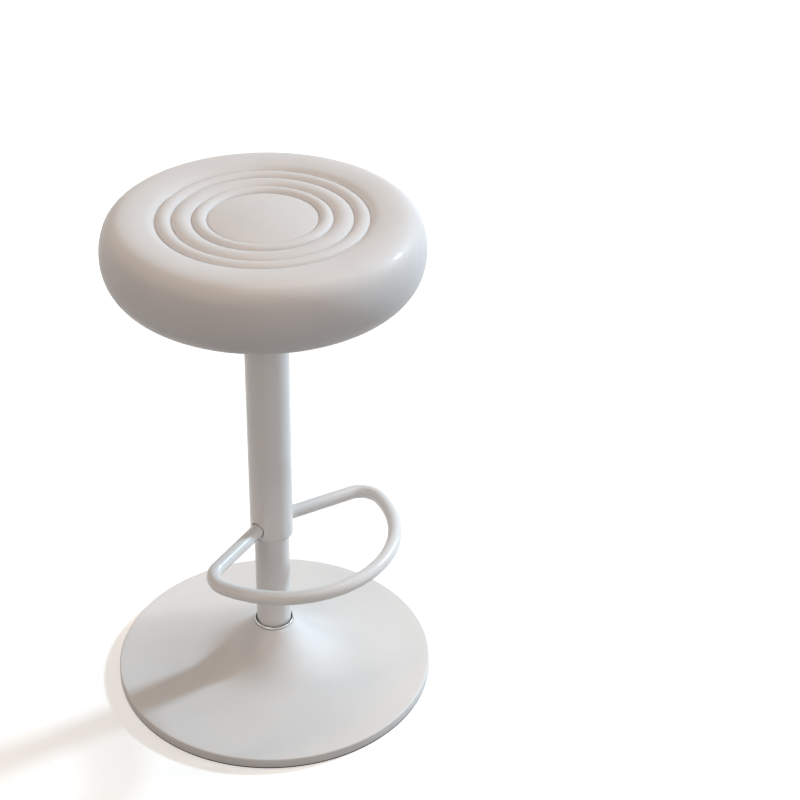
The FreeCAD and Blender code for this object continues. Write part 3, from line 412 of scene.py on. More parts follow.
def turned(name, points, steps):
    """Spin an outline about the column."""
    piece = draw_chain(name, upright(points))
    bpy.ops.mesh.select_all(action="SELECT")
    bpy.ops.mesh.spin(steps=steps, angle=math.tau, center=(0, 0, 0), axis=(0, 0, 1))
    merge_and_turn_out()
    return piece


def plate(name, points, low, high):
    """Fill an outline and raise it from one height to another."""
    piece = draw_chain(name, level(points, low))
    bpy.ops.mesh.select_all(action="SELECT")
    bpy.ops.mesh.edge_face_add()
    bpy.ops.mesh.extrude_region_move(TRANSFORM_OT_translate={"value": (0, 0, high - low)})
    merge_and_turn_out()
    return piece


def tube_along(name, points, radius, sides):
    """A closed round bar along a chain of points."""
    bar = draw_chain(name, points)
    bpy.ops.object.mode_set(mode="OBJECT")
    bpy.ops.object.convert(target="CURVE")
    bar = bpy.context.object
    bar.data.bevel_depth = radius
    bar.data.bevel_resolution = sides // 4 - 1
    bar.data.use_fill_caps = True
    bpy.ops.object.convert(target="MESH")
    bar = named(name)
    bpy.ops.object.mode_set(mode="EDIT")
    merge_and_turn_out()
    return bar


def apply_modifier(piece, kind, **settings):
    """Add a modifier, set it and apply it."""
    make_active(piece)
    modifier = piece.modifiers.new(kind.title(), kind)
    for setting, value in settings.items():
        setattr(modifier, setting, value)
    bpy.ops.object.modifier_apply(modifier=modifier.name)
    return piece


def round_edges(piece, width, segments=2, degrees=30.0):
    """Round every edge that is sharper than an angle."""
    return apply_modifier(piece, "BEVEL", width=width, segments=segments,
                          limit_method="ANGLE", angle_limit=math.radians(degrees),
                          harden_normals=False)


def cut_away(piece, cutter):
    """Take a cutter's shape out of a piece and delete the cutter."""
    apply_modifier(piece, "BOOLEAN", operation="DIFFERENCE", object=cutter, solver="EXACT")
    bpy.data.objects.remove(cutter)
    return piece


def rod(name, radius, start, end, sides):
    """A straight bar between two points, used as a cutter or shaped further."""
    start, end = Vector(start), Vector(end)
    along = end - start
    deselect_all()
    bpy.ops.mesh.primitive_cylinder_add(vertices=sides, radius=radius, depth=along.length,
                                        location=(start + end) / 2,
                                        rotation=along.to_track_quat("Z", "Y").to_euler())
    bpy.ops.object.transform_apply(location=True, rotation=True, scale=True)
    return named(name)


def copy_of(piece, name, matrix):
    """A copy with its own mesh, moved by a matrix."""
    twin = bpy.data.objects.new(name, piece.data.copy())
    twin.data.name = name
    twin.data.transform(matrix)
    bpy.context.scene.collection.objects.link(twin)
    return twin


def join(pieces, name):
    """Join pieces into the first one."""
    deselect_all()
    for piece in pieces:
        piece.select_set(True)
    bpy.context.view_layer.objects.active = pieces[0]
    bpy.ops.object.join()
    return named(name)


def softened(node, name, width):
    """A copy of a CAD node with clean faces and rounded edges."""
    piece = copy_of(frame["nodes"][node], name, Matrix.Identity(4))
    make_active(piece)
    if piece.data.has_custom_normals:
        bpy.ops.mesh.customdata_custom_splitnormals_clear()
    bpy.ops.object.mode_set(mode="EDIT")
    bpy.ops.mesh.select_all(action="SELECT")
    bpy.ops.mesh.remove_doubles(threshold=MERGE)
    bpy.ops.mesh.dissolve_limited(angle_limit=math.radians(1.0))
    bpy.ops.object.mode_set(mode="OBJECT")
    return round_edges(piece, width)


def finished(piece, body, slot, material, *nodes, degrees=35.0):
    """Smooth a piece, give it its finish and let it ride on its body."""
    make_active(piece)
    bpy.ops.object.shade_smooth_by_angle(angle=math.radians(degrees))
    piece.data.materials.clear()
    piece.data.materials.append(finish(material))
    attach(piece, body)
    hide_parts(*nodes)
    return piece


# Material nodes


def add_node(tree, kind, inputs=None, **settings):
    """Add a node and give each input a value or another node's output."""
    node = tree.nodes.new(kind)
    for setting, value in settings.items():
        setattr(node, setting, value)
    for name, value in (inputs or {}).items():
        if isinstance(value, bpy.types.NodeSocket):
            tree.links.new(value, node.inputs[name])
        else:
            node.inputs[name].default_value = value
    return node


def new_finish(name, **values):
    """A material with a Principled shader whose plain values are set on it."""
    material = bpy.data.materials.new(FINISH_NAME.format(name))
    material.use_nodes = True
    shader = material.node_tree.nodes["Principled BSDF"]
    for socket, value in values.items():
        shader.inputs[socket.replace("_", " ")].default_value = value
    return material


def shader_of(tree):
    """The material's Principled shader."""
    return tree.nodes["Principled BSDF"]


def object_place(tree):
    """Places on the object."""
    return add_node(tree, "ShaderNodeTexCoord").outputs["Object"]


def distance_from_column(tree):
    """Distance of a point on the object from the column's axis."""
    parts = add_node(tree, "ShaderNodeSeparateXYZ", {"Vector": object_place(tree)})
    flat = add_node(tree, "ShaderNodeCombineXYZ",
                    {"X": parts.outputs["X"], "Y": parts.outputs["Y"]})
    return add_node(tree, "ShaderNodeVectorMath", {0: flat.outputs["Vector"]},
                    operation="LENGTH").outputs["Value"]


def lathe_place(tree):
    """Places by radius and height alone, so that a pattern runs round the column."""
    parts = add_node(tree, "ShaderNodeSeparateXYZ", {"Vector": object_place(tree)})
    return add_node(tree, "ShaderNodeCombineXYZ",
                    {"X": distance_from_column(tree),
                     "Z": parts.outputs["Z"]}).outputs["Vector"]


def stretched_place(tree, scale):
    """Places on the object, stretched along the axes."""
    return add_node(tree, "ShaderNodeMapping",
                    {"Vector": object_place(tree), "Scale": scale}).outputs["Vector"]


def noise(tree, place, scale, detail=2.0):
    """A soft noise from 0 to 1."""
    return add_node(tree, "ShaderNodeTexNoise",
                    {"Vector": place, "Scale": scale, "Detail": detail}).outputs["Fac"]


def cells(tree, place, scale, feature="F1"):
    """Distance from the middle of rounded cells."""
    return add_node(tree, "ShaderNodeTexVoronoi", {"Vector": place, "Scale": scale},
                    feature=feature).outputs["Distance"]


def blended_colour(tree, factor, first, second, low=0.35, high=0.65):
    """Colour the surface from one colour to another."""
    ramp = add_node(tree, "ShaderNodeValToRGB", {"Fac": factor})
    ramp.color_ramp.elements[0].position = low
    ramp.color_ramp.elements[0].color = (*first, 1.0)
    ramp.color_ramp.elements[1].position = high
    ramp.color_ramp.elements[1].color = (*second, 1.0)
    tree.links.new(ramp.outputs["Color"], shader_of(tree).inputs["Base Color"])
    return ramp.outputs["Color"]


def mottled(tree, factor, base, spread):
    """Colour the surface a little lighter and darker than a colour."""
    dark = [channel * (1.0 - spread) for channel in base]
    light = [min(channel * (1.0 + spread), 1.0) for channel in base]
    return blended_colour(tree, factor, dark, light)


def worn_coat(tree, worn, whole, weight):
    """A clear coat that is worn off inside one radius and whole outside another."""
    spread = add_node(tree, "ShaderNodeMapRange",
                      {"Value": distance_from_column(tree), "From Min": worn,
                       "From Max": whole, "To Min": 0.0, "To Max": weight})
    tree.links.new(spread.outputs["Result"], shader_of(tree).inputs["Coat Weight"])


def uneven_gloss(tree, factor, low, high):
    """Roughness between two values."""
    spread = add_node(tree, "ShaderNodeMapRange",
                      {"Value": factor, "From Min": 0.3, "From Max": 0.7,
                       "To Min": low, "To Max": high})
    tree.links.new(spread.outputs["Result"], shader_of(tree).inputs["Roughness"])


def raised(tree, height, depth, strength=1.0, below=None):
    """Relief of a depth in metres on the surface, over another relief."""
    inputs = {"Height": height, "Strength": strength, "Distance": depth}
    if below is not None:
        inputs["Normal"] = below
    bump = add_node(tree, "ShaderNodeBump", inputs)
    tree.links.new(bump.outputs["Normal"], shader_of(tree).inputs["Normal"])
    return bump.outputs["Normal"]


# Finishes, one function for each


def white_coat(name, colours, low, high, coat):
    """White powder coat with a fine orange peel, at a gloss."""
    material = new_finish(name, Specular_IOR_Level=0.45, Coat_Weight=coat, Coat_Roughness=0.16)
    tree = material.node_tree
    place = object_place(tree)
    mottled(tree, noise(tree, place, scale=14.0, detail=4.0), colours.paint, spread=0.012)
    uneven_gloss(tree, noise(tree, place, scale=25.0, detail=3.0), low, high)
    wave = raised(tree, noise(tree, place, scale=220.0), depth=0.00006, strength=0.6)
    raised(tree, noise(tree, place, scale=900.0), depth=0.00002, strength=0.6, below=wave)
    return material


def powder_coat(colours):
    """Soft satin coat of the base."""
    return white_coat("powder_coat", colours, low=0.52, high=0.60, coat=0.0)


def tube_coat(colours):
    """Smoother, glossier coat of the tubes."""
    return white_coat("tube_coat", colours, low=0.32, high=0.38, coat=0.25)


def seat_leather(colours):
    """Satin cream leather cloth with a fine grain, and a clear coat that is worn inside."""
    material = new_finish("seat_leather", Specular_IOR_Level=0.25, Coat_Roughness=0.12)
    tree = material.node_tree
    place = object_place(tree)
    mottled(tree, noise(tree, place, scale=18.0, detail=5.0), colours.leather, spread=0.015)
    uneven_gloss(tree, noise(tree, place, scale=60.0, detail=4.0), low=0.46, high=0.54)
    swell = raised(tree, noise(tree, place, scale=35.0, detail=2.0), depth=0.0002, strength=0.5)
    pebbles = cells(tree, place, scale=1100.0, feature="SMOOTH_F1")
    raised(tree, pebbles, depth=0.00003, strength=0.5, below=swell)
    worn_coat(tree, worn=0.118, whole=0.135, weight=0.09)
    return material


def bright_steel(colours):
    """Polished steel with fine lathe lines."""
    material = new_finish("bright_steel", Metallic=1.0)
    tree = material.node_tree
    lines = noise(tree, lathe_place(tree), scale=2500.0, detail=3.0)
    mottled(tree, noise(tree, object_place(tree), scale=60.0), colours.bright, spread=0.05)
    uneven_gloss(tree, lines, low=0.12, high=0.24)
    raised(tree, lines, depth=0.000004, strength=0.5)
    return material


def zinc_plate(colours):
    """Zinc plating with a faint spangle."""
    material = new_finish("zinc_plate", Metallic=1.0)
    tree = material.node_tree
    place = object_place(tree)
    mottled(tree, cells(tree, place, scale=260.0), colours.zinc, spread=0.10)
    uneven_gloss(tree, noise(tree, place, scale=180.0, detail=3.0), low=0.26, high=0.42)
    raised(tree, noise(tree, place, scale=700.0, detail=3.0), depth=0.00001, strength=0.5)
    return material


def machined_steel(colours):
    """Plain steel with turning marks."""
    material = new_finish("machined_steel", Metallic=1.0)
    tree = material.node_tree
    lines = noise(tree, lathe_place(tree), scale=1400.0, detail=3.0)
    stains = noise(tree, object_place(tree), scale=45.0, detail=4.0)
    mottled(tree, stains, colours.steel, spread=0.14)
    uneven_gloss(tree, lines, low=0.32, high=0.50)
    raised(tree, lines, depth=0.00001, strength=0.6)
    return material


def cast_iron(colours):
    """Dull cast iron with a sandy skin."""
    material = new_finish("cast_iron", Metallic=0.4)
    tree = material.node_tree
    place = object_place(tree)
    mottled(tree, noise(tree, place, scale=30.0, detail=5.0), colours.iron, spread=0.25)
    uneven_gloss(tree, noise(tree, place, scale=90.0, detail=4.0), low=0.62, high=0.82)
    raised(tree, noise(tree, place, scale=600.0, detail=5.0), depth=0.0003, strength=0.7)
    return material


def black_enamel(colours):
    """Satin black dip paint, thinner and greyer in places."""
    material = new_finish("black_enamel", Specular_IOR_Level=0.5)
    tree = material.node_tree
    place = object_place(tree)
    mottled(tree, noise(tree, place, scale=22.0, detail=5.0), colours.black, spread=0.30)
    uneven_gloss(tree, noise(tree, place, scale=40.0, detail=4.0), low=0.30, high=0.46)
    raised(tree, noise(tree, place, scale=500.0, detail=3.0), depth=0.00005, strength=0.5)
    return material


def yellow_brass(colours):
    """Turned brass."""
    material = new_finish("yellow_brass", Metallic=1.0)
    tree = material.node_tree
    lines = noise(tree, lathe_place(tree), scale=2000.0, detail=3.0)
    stains = noise(tree, object_place(tree), scale=120.0, detail=3.0)
    mottled(tree, stains, colours.brass, spread=0.12)
    uneven_gloss(tree, lines, low=0.20, high=0.36)
    raised(tree, lines, depth=0.000006, strength=0.5)
    return material


def black_rubber(colours):
    """Matt rubber with a fine moulded skin."""
    material = new_finish("black_rubber", Specular_IOR_Level=0.35)
    tree = material.node_tree
    place = object_place(tree)
    mottled(tree, noise(tree, place, scale=50.0, detail=4.0), colours.rubber, spread=0.25)
    uneven_gloss(tree, noise(tree, place, scale=80.0, detail=3.0), low=0.62, high=0.80)
    raised(tree, noise(tree, place, scale=1500.0, detail=4.0), depth=0.00004, strength=0.6)
    return material


def moulded(name, base, low, high):
    """Moulded plastic with a spark-etched skin."""
    material = new_finish(name, Specular_IOR_Level=0.45)
    tree = material.node_tree
    place = object_place(tree)
    mottled(tree, noise(tree, place, scale=30.0, detail=4.0), base, spread=0.05)
    uneven_gloss(tree, noise(tree, place, scale=70.0, detail=3.0), low, high)
    raised(tree, noise(tree, place, scale=1300.0, detail=4.0), depth=0.00003, strength=0.5)
    return material


def dark_plastic(colours):
    """Black moulded plastic."""
    return moulded("dark_plastic", colours.dark_plastic, low=0.38, high=0.52)


def pale_plastic(colours):
    """White moulded plastic."""
    return moulded("pale_plastic", colours.pale_plastic, low=0.36, high=0.48)


def grip_plastic(colours):
    """Mid-grey moulded plastic of the grip."""
    return moulded("grip_plastic", colours.grip, low=0.30, high=0.42)


def plywood(colours):
    """Plywood with veneer grain on its faces and layers along its edge."""
    material = new_finish("plywood", Specular_IOR_Level=0.3)
    tree = material.node_tree
    grain = noise(tree, stretched_place(tree, scale=(6.0, 90.0, 700.0)), scale=1.0, detail=6.0)
    darkest = 0.62
    dark = [channel * darkest for channel in colours.wood]
    blended_colour(tree, grain, dark, colours.wood, low=0.30, high=0.70)
    uneven_gloss(tree, grain, low=0.55, high=0.75)
    raised(tree, grain, depth=0.0001, strength=0.5)
    return material


def seat_foam(colours):
    """Open foam."""
    material = new_finish("seat_foam", Specular_IOR_Level=0.2)
    tree = material.node_tree
    place = object_place(tree)
    mottled(tree, noise(tree, place, scale=60.0, detail=4.0), colours.foam, spread=0.10)
    uneven_gloss(tree, noise(tree, place, scale=60.0), low=0.85, high=0.95)
    raised(tree, cells(tree, place, scale=900.0), depth=0.0004, strength=0.8)
    return material


def dust_cloth(colours):
    """Black bonded cloth with pressed dots."""
    material = new_finish("dust_cloth", Specular_IOR_Level=0.25, Sheen_Weight=0.15,
                          Sheen_Roughness=0.5)
    tree = material.node_tree
    place = object_place(tree)
    weave = stretched_place(tree, scale=(700.0, 1300.0, 700.0))
    fibres = noise(tree, weave, scale=1.0, detail=6.0)
    mottled(tree, fibres, colours.cloth, spread=0.45)
    uneven_gloss(tree, fibres, low=0.75, high=0.95)
    threads = raised(tree, fibres, depth=0.0001, strength=0.7)
    raised(tree, cells(tree, place, scale=420.0), depth=0.0002, strength=0.6, below=threads)
    return material


FINISHES = {
    "white_paint": powder_coat,
    "tube_paint": tube_coat,
    "seat_leather": seat_leather,
    "seat_foam": seat_foam,
    "plywood": plywood,
    "dust_cloth": dust_cloth,
    "bright_collar": bright_steel,
    "zinc_steel": zinc_plate,
    "raw_steel": machined_steel,
    "ballast_iron": cast_iron,
    "black_paint": black_enamel,
    "brass_valve": yellow_brass,
    "black_rubber": black_rubber,
    "black_plastic": dark_plastic,
    "white_plastic": pale_plastic,
    "grey_plastic": grip_plastic,
}


def finish(slot):
    """The finish of a material slot, made when it is first asked for."""
    make = FINISHES[slot]
    made = bpy.data.materials.get(FINISH_NAME.format(make.__name__))
    return made or make(bpy.context.scene.stool_finish)


# Seat


def ridge_radius(width, rise):
    """Radius of the arc over a ridge."""
    return ((width / 2) ** 2 + rise ** 2) / (2 * rise)


def channel_radii(seat):
    """Radii of the four channels, from the outside in."""
    crest = (seat.radius - seat.upper_round
             + (seat.upper_round - seat.top_round) * math.cos(seat.upper_turn))
    first = crest - seat.shoulder_width - seat.fall_width
    second = first - seat.outer_ridge
    third = second - seat.middle_ridge
    return [first, second, third, third - seat.inner_ridge]


def crest_height(seat):
    """Height of the seat's highest ring."""
    return (equator_height(seat) + (seat.upper_round - seat.top_round)
            * math.sin(seat.upper_turn) + seat.top_round)


def equator_height(seat):
    """Height of the seat's widest ring."""
    return (SEAT_BOTTOM + seat.bottom_round
            + (seat.lower_round - seat.bottom_round) * math.sin(seat.lower_turn))


def side_corners(seat):
    """Corners of the round side, from the underside up to the crest."""
    low_radius = (seat.radius - seat.lower_round
                  + (seat.lower_round - seat.bottom_round) * math.cos(seat.lower_turn))
    middle = equator_height(seat)
    return [
        (low_radius, SEAT_BOTTOM, seat.bottom_round, 16),
        (seat.radius - seat.lower_round + seat.lower_round * math.cos(seat.lower_turn),
         middle - seat.lower_round * math.sin(seat.lower_turn), seat.lower_round, 5),
        (seat.radius, middle, seat.upper_round, 6),
        (seat.radius - seat.upper_round + seat.upper_round * math.cos(seat.upper_turn),
         middle + seat.upper_round * math.sin(seat.upper_turn), seat.top_round, 12),
    ]


def seam(radius, half, high, low):
    """Outer edge and floor of a sewn slot."""
    return [(radius + half, high), (radius + half / 4, low), (radius - half / 4, low)]


def top_corners(seat):
    """Corners of the top, from the crest over the ridges to the middle."""
    first, second, third, fourth = channel_radii(seat)
    shoulder = first + seat.fall_width
    crest = shoulder + seat.shoulder_width
    crest_z = crest_height(seat)
    flat_radius = seat.shoulder_width / math.sin(seat.shoulder_slope)
    shoulder_z = crest_z - flat_radius * (1 - math.cos(seat.shoulder_slope))
    channel_z = crest_z - seat.channel_depth
    fall = seat.fall_width - seat.seam_half
    end_slope = 2 * math.atan((shoulder_z - channel_z) / fall) - seat.shoulder_slope
    fall_radius = fall / (math.sin(end_slope) - math.sin(seat.shoulder_slope))
    rise = seat.ridge_rise
    disc = fourth - seat.seam_half - seat.centre_edge
    dome_radius = (disc ** 2 + seat.centre_dome ** 2) / (2 * seat.centre_dome)
    step = seat.centre_rise - seat.centre_dome
    half_turn = math.atan(step / seat.centre_edge) - math.asin(disc / dome_radius)
    edge_radius = math.hypot(seat.centre_edge, step) / (2 * math.sin(half_turn))
    half = seat.seam_half
    seam_z = channel_z - seat.seam_depth
    return [
        (crest, crest_z, flat_radius, 4),
        (shoulder, shoulder_z, fall_radius, 7),
        *seam(first, half, channel_z, seam_z),
        (first - half, channel_z, ridge_radius(seat.outer_ridge - 2 * half, rise), 10),
        *seam(second, half, channel_z, seam_z),
        (second - half, channel_z, ridge_radius(seat.middle_ridge - 2 * half, rise), 12),
        *seam(third, half, channel_z, seam_z),
        (third - half, channel_z, ridge_radius(seat.inner_ridge - 2 * half, rise), 10),
        *seam(fourth, half, channel_z, seam_z),
        (fourth - half, channel_z, edge_radius, 8),
        (disc, channel_z + step, dome_radius, 10),
        (0.0, channel_z + seat.centre_rise),
    ]


def gather_underside(cushion, seat):
    """Press the gathers of the stretched cover into the seat's underside."""
    chance = random.Random(4)
    stray = 0.25
    pleats = []
    for index in range(seat.pleat_count):
        middle = (index + chance.uniform(-stray, stray)) * math.tau / seat.pleat_count
        pleats.append((middle, chance.uniform(0.5, 1.0), chance.uniform(0.6, 1.0)))
    half = math.pi / seat.pleat_count
    for vertex in cushion.data.vertices:
        radius = vertex.co.xy.length
        out = radius - seat.cloth_radius
        if vertex.co.z > SEAT_BOTTOM + seat.bottom_round / 3 or out < 0.0:
            continue
        around = math.atan2(vertex.co.y, vertex.co.x)
        for middle, depth, length in pleats:
            away = abs((around - middle + math.pi) % math.tau - math.pi) / half
            along = out / (seat.pleat_reach * length)
            if away < 1.0 and along < 1.0:
                fold = (1.0 + math.cos(math.pi * away)) / 2 * (1.0 - along) ** 2
                vertex.co.z += seat.pleat_depth * depth * fold


def settle_cloth(piece, is_held, frames, limit, pressure, gravity):
    """Let a piece settle as cloth that is held in places and moves no farther than a limit."""
    rest = [vertex.co.copy() for vertex in piece.data.vertices]
    held = piece.vertex_groups.new(name="held")
    held.add([vertex.index for vertex in piece.data.vertices if is_held(vertex.co)], 1.0,
             "REPLACE")
    make_active(piece)
    modifier = piece.modifiers.new("Cloth", "CLOTH")
    settings = modifier.settings
    settings.quality = 4
    settings.vertex_group_mass = held.name
    settings.use_pressure = pressure > 0.0
    settings.uniform_pressure_force = pressure
    settings.effector_weights.gravity = gravity
    modifier.collision_settings.use_collision = False
    scene = bpy.context.scene
    for step in range(1, frames + 1):
        scene.frame_set(step)
    bpy.ops.object.modifier_apply(modifier=modifier.name)
    scene.frame_set(1)
    piece.vertex_groups.clear()
    for vertex, start in zip(piece.data.vertices, rest):
        move = vertex.co - start
        if move.length > limit:
            vertex.co = start + move * limit / move.length


def cover_is_held(seat):
    """Test for where the cover is sewn in, wrapped round the board or stapled."""
    radii = channel_radii(seat)
    floor = crest_height(seat) - seat.channel_depth - seat.seam_depth

    def test(place):
        radius = place.xy.length
        in_channel = place.z > floor - PLACE and any(
            abs(radius - channel) < seat.seam_half + PLACE for channel in radii)
        round_board = place.z < BOARD_TOP + HOLD and radius < BOARD_RADIUS + HOLD
        under_board = place.z < SEAT_BOTTOM + seat.pleat_depth
        return in_channel or round_board or under_board

    return test


class STOOL_OT_seat_cushion(bpy.types.Operator):
    """Model the padded seat with its ridges and channels"""

    bl_idname = "stool.seat_cushion"
    bl_label = "Seat cushion"

    def execute(self, context):
        seat = context.scene.stool_seat
        over = BOARD_TOP + 2 * FIT
        beside = BOARD_RADIUS + 2 * FIT
        under = BOARD_BOTTOM - 2 * FIT
        inner = [(0.0, over), (beside, over), (beside, under), (OPENING_RADIUS, under),
                 (OPENING_RADIUS, SEAT_BOTTOM)]
        low_radius = side_corners(seat)[0][0]
        rings = 10
        spread = (low_radius - seat.cloth_radius) / rings
        flap = [(seat.cloth_radius + spread * ring, SEAT_BOTTOM) for ring in range(rings)]
        corners = inner + flap + side_corners(seat) + top_corners(seat)
        cushion = turned("seat_cushion", outline(*corners), seat.steps)
        gather_underside(cushion, seat)
        settle_cloth(cushion, cover_is_held(seat), seat.swell_frames, seat.swell_limit,
                     pressure=4.0, gravity=0.0)
        apply_modifier(cushion, "SUBSURF", levels=1, render_levels=1)
        finished(cushion, "seat", "seat_leather", "seat_leather", "seat_cover", "seat_foam",
                 degrees=60.0)
        return {"FINISHED"}


def cloth_is_held(seat):
    """Test for where the dust cloth is stapled or clamped under the plate."""
    pitch = math.tau / seat.staple_count

    def test(place):
        radius = place.xy.length
        clamped = max(abs(place.x), abs(place.y)) < PLATE_HALF + HOLD
        around = math.atan2(place.y, place.x)
        from_staple = abs((around + pitch / 2) % pitch - pitch / 2) * radius
        stapled = radius > seat.staple_circle - 2 * HOLD and from_staple < 4 * HOLD
        return clamped or stapled

    return test


class STOOL_OT_dust_cloth(bpy.types.Operator):
    """Stretch the black cloth under the board"""

    bl_idname = "stool.dust_cloth"
    bl_label = "Dust cloth"

    def execute(self, context):
        seat = context.scene.stool_seat
        rings, steps = 16, 144
        spread = (seat.cloth_radius - seat.cloth_opening) / rings
        low = SEAT_BOTTOM - seat.cloth_thickness
        section = outline(*[(seat.cloth_opening + spread * ring, low)
                            for ring in range(rings + 1)])
        cloth = turned("dust_cloth", section, steps)
        settle_cloth(cloth, cloth_is_held(seat), seat.sag_frames, seat.sag_limit,
                     pressure=0.0, gravity=1.0)
        apply_modifier(cloth, "SOLIDIFY", thickness=seat.cloth_thickness, offset=0.0)
        finished(cloth, "seat", "dust_cloth", "dust_cloth", "dust_cover")
        return {"FINISHED"}


class STOOL_OT_staples(bpy.types.Operator):
    """Drive the ring of staples through the dust cloth"""

    bl_idname = "stool.staples"
    bl_label = "Staples"

    def execute(self, context):
        seat = context.scene.stool_seat
        chance = random.Random(11)
        crown, wire = 0.0105, 0.0011
        most_skew, stray = 0.25, 0.001
        low = SEAT_BOTTOM - 2 * seat.cloth_thickness
        deselect_all()
        bpy.ops.mesh.primitive_cube_add(size=1.0)
        bpy.ops.transform.resize(value=(crown, wire, wire / 2))
        bpy.ops.object.transform_apply(location=True, rotation=True, scale=True)
        staple = round_edges(named("staple"), wire / 6)
        staples = []
        for index in range(seat.staple_count):
            around = index * math.tau / seat.staple_count
            skew = math.pi / 2 + chance.uniform(-most_skew, most_skew)
            place = Vector((seat.staple_circle + chance.uniform(-stray, stray), 0.0, low))
            matrix = (Matrix.Rotation(around, 4, "Z") @ Matrix.Translation(place)
                      @ Matrix.Rotation(skew, 4, "Z"))
            staples.append(copy_of(staple, f"staple_{index}", matrix))
        bpy.data.objects.remove(staple)
        finished(join(staples, "cover_staples"), "seat", "zinc_steel", "zinc_steel")
        return {"FINISHED"}


class STOOL_OT_seat_mechanism(bpy.types.Operator):
    """Model the plate and the lever's bracket under the seat"""

    bl_idname = "stool.seat_mechanism"
    bl_label = "Seat plate and bracket"

    def execute(self, context):
        for node, name, width in (("seat_plate", "pressed_seat_plate", 0.0004),
                                  ("lever_bracket", "folded_lever_bracket", 0.0006)):
            piece = softened(node, name, width)
            finished(piece, "seat", "black_paint", "black_paint", node)
        return {"FINISHED"}


# Screws with a hex socket in their head


def socket_screw(name, outline_points, socket, head_low, depth, place):
    """A turned screw with a hex socket in its underside, set down at a place."""
    screw = turned(name, outline_points, steps=40)
    cut_away(screw, rod("hex_cutter", socket / 2, (0, 0, head_low - depth),
                        (0, 0, head_low + depth), sides=6))
    round_edges(screw, EDGE, degrees=40.0)
    screw.data.transform(Matrix.Translation(place))
    return screw


class STOOL_OT_seat_screws(bpy.types.Operator):
    """Model the four screws that hold the plate to the board"""

    bl_idname = "stool.seat_screws"
    bl_label = "Seat screws"

    def execute(self, context):
        column = context.scene.stool_column
        low, high = bottom("seat_screws"), top("seat_screws")
        head, shank, socket_depth = 0.005, 0.003, 0.0022
        circle = reach("seat_screws") - head
        section = outline((0.0, low), (head, low), (head, PLATE_BOTTOM), (shank, PLATE_BOTTOM),
                          (shank, high), (0.0, high))
        screws = []
        for x in (circle, -circle):
            for y in (circle, -circle):
                screws.append(socket_screw("seat_screw", section, column.screw_socket, low,
                                           socket_depth, Vector((x, y, 0.0))))
        finished(join(screws, "socket_seat_screws"), "seat", "zinc_steel", "zinc_steel",
                 "seat_screws")
        return {"FINISHED"}


class STOOL_OT_base_screws(bpy.types.Operator):
    """Model the four screws under the ballast"""

    bl_idname = "stool.base_screws"
    bl_label = "Base screws"

    def execute(self, context):
        column = context.scene.stool_column
        low, high = bottom("base_screws"), top("base_screws")
        ballast_low = bottom("ballast_plate")
        head, shank, socket_depth = 0.007, 0.004, 0.0019
        circle = reach("base_screws") - head
        section = outline((0.0, low), (head, low), (head, ballast_low), (shank, ballast_low),
                          (shank, high), (0.0, high))
        screws = []
        for quarter in range(4):
            place = Matrix.Rotation(quarter * math.pi / 2, 4, "Z") @ Vector((circle, 0, 0))
            screws.append(socket_screw("base_screw", section, column.base_socket, low,
                                       socket_depth, place))
        finished(join(screws, "socket_base_screws"), "base", "zinc_steel", "zinc_steel",
                 "base_screws")
        return {"FINISHED"}


# Base


class STOOL_OT_base_shell(bpy.types.Operator):
    """Spin the trumpet-shaped base shell"""

    bl_idname = "stool.base_shell"
    bl_label = "Base shell"

    def execute(self, context):
        base = context.scene.stool_base
        land = base.radius - base.rim_round
        outer = (land - base.join_radius) / (math.sin(base.join_slope) - math.sin(base.rim_slope))
        inner = ((base.join_radius - base.neck_radius)
                 / (math.sin(base.neck_slope) - math.sin(base.join_slope)))
        join_z = base.rim_height + outer * (math.cos(base.rim_slope) - math.cos(base.join_slope))
        neck_z = join_z + inner * (math.cos(base.join_slope) - math.cos(base.neck_slope))
        wall = base.wall
        inner_neck = (base.neck_radius - wall * math.sin(base.neck_slope),
                      neck_z - wall * math.cos(base.neck_slope))
        inner_join = (base.join_radius - wall * math.sin(base.join_slope),
                      join_z - wall * math.cos(base.join_slope))
        section = outline(
            (base.radius - wall, base.rim_bottom),
            (base.radius, base.rim_bottom),
            (base.radius, base.rim_height - base.rim_round, base.rim_round, 6),
            (land, base.rim_height, -outer, 14),
            (base.join_radius, join_z, -inner, 24),
            (base.neck_radius, neck_z),
            (base.mouth_radius, neck_z),
            (base.mouth_radius, neck_z - wall),
            (*inner_neck, inner + wall, 16),
            (*inner_join, outer + wall, 10),
            (land, base.rim_height - wall, -(base.rim_round - wall), 3),
            (base.radius - wall, base.rim_height - base.rim_round),
            (base.radius - wall, base.rim_bottom),
        )
        shell = round_edges(turned("base_shell", section, base.steps), EDGE, degrees=50.0)
        finished(shell, "base", "white_paint", "white_paint", "base_dish")
        return {"FINISHED"}


class STOOL_OT_floor_ring(bpy.types.Operator):
    """Spin the rubber ring under the rim with its grip grooves"""

    bl_idname = "stool.floor_ring"
    bl_label = "Floor ring"

    def execute(self, context):
        base = context.scene.stool_base
        low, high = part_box("floor_ring")
        outer = high.x
        inner = outer - base.ring_width
        depth = low.z + base.groove_depth
        half = base.groove_width / 2
        foot = [(inner, low.z)]
        for quarter in (1, 2, 3):
            middle = inner + base.ring_width * quarter / 4
            foot += [(middle - half, low.z), (middle - half, depth),
                     (middle + half, depth), (middle + half, low.z)]
        lip = base.radius - base.ring_lip
        lip_top = base.rim_bottom - FIT
        section = outline(*foot, (lip, low.z), (lip, lip_top), (outer, lip_top),
                          (outer, high.z), (inner, high.z), (inner, low.z))
        ring = round_edges(turned("grooved_floor_ring", section, steps=160), EDGE)
        finished(ring, "base", "black_rubber", "black_rubber", "floor_ring")
        return {"FINISHED"}


# Column and footrest


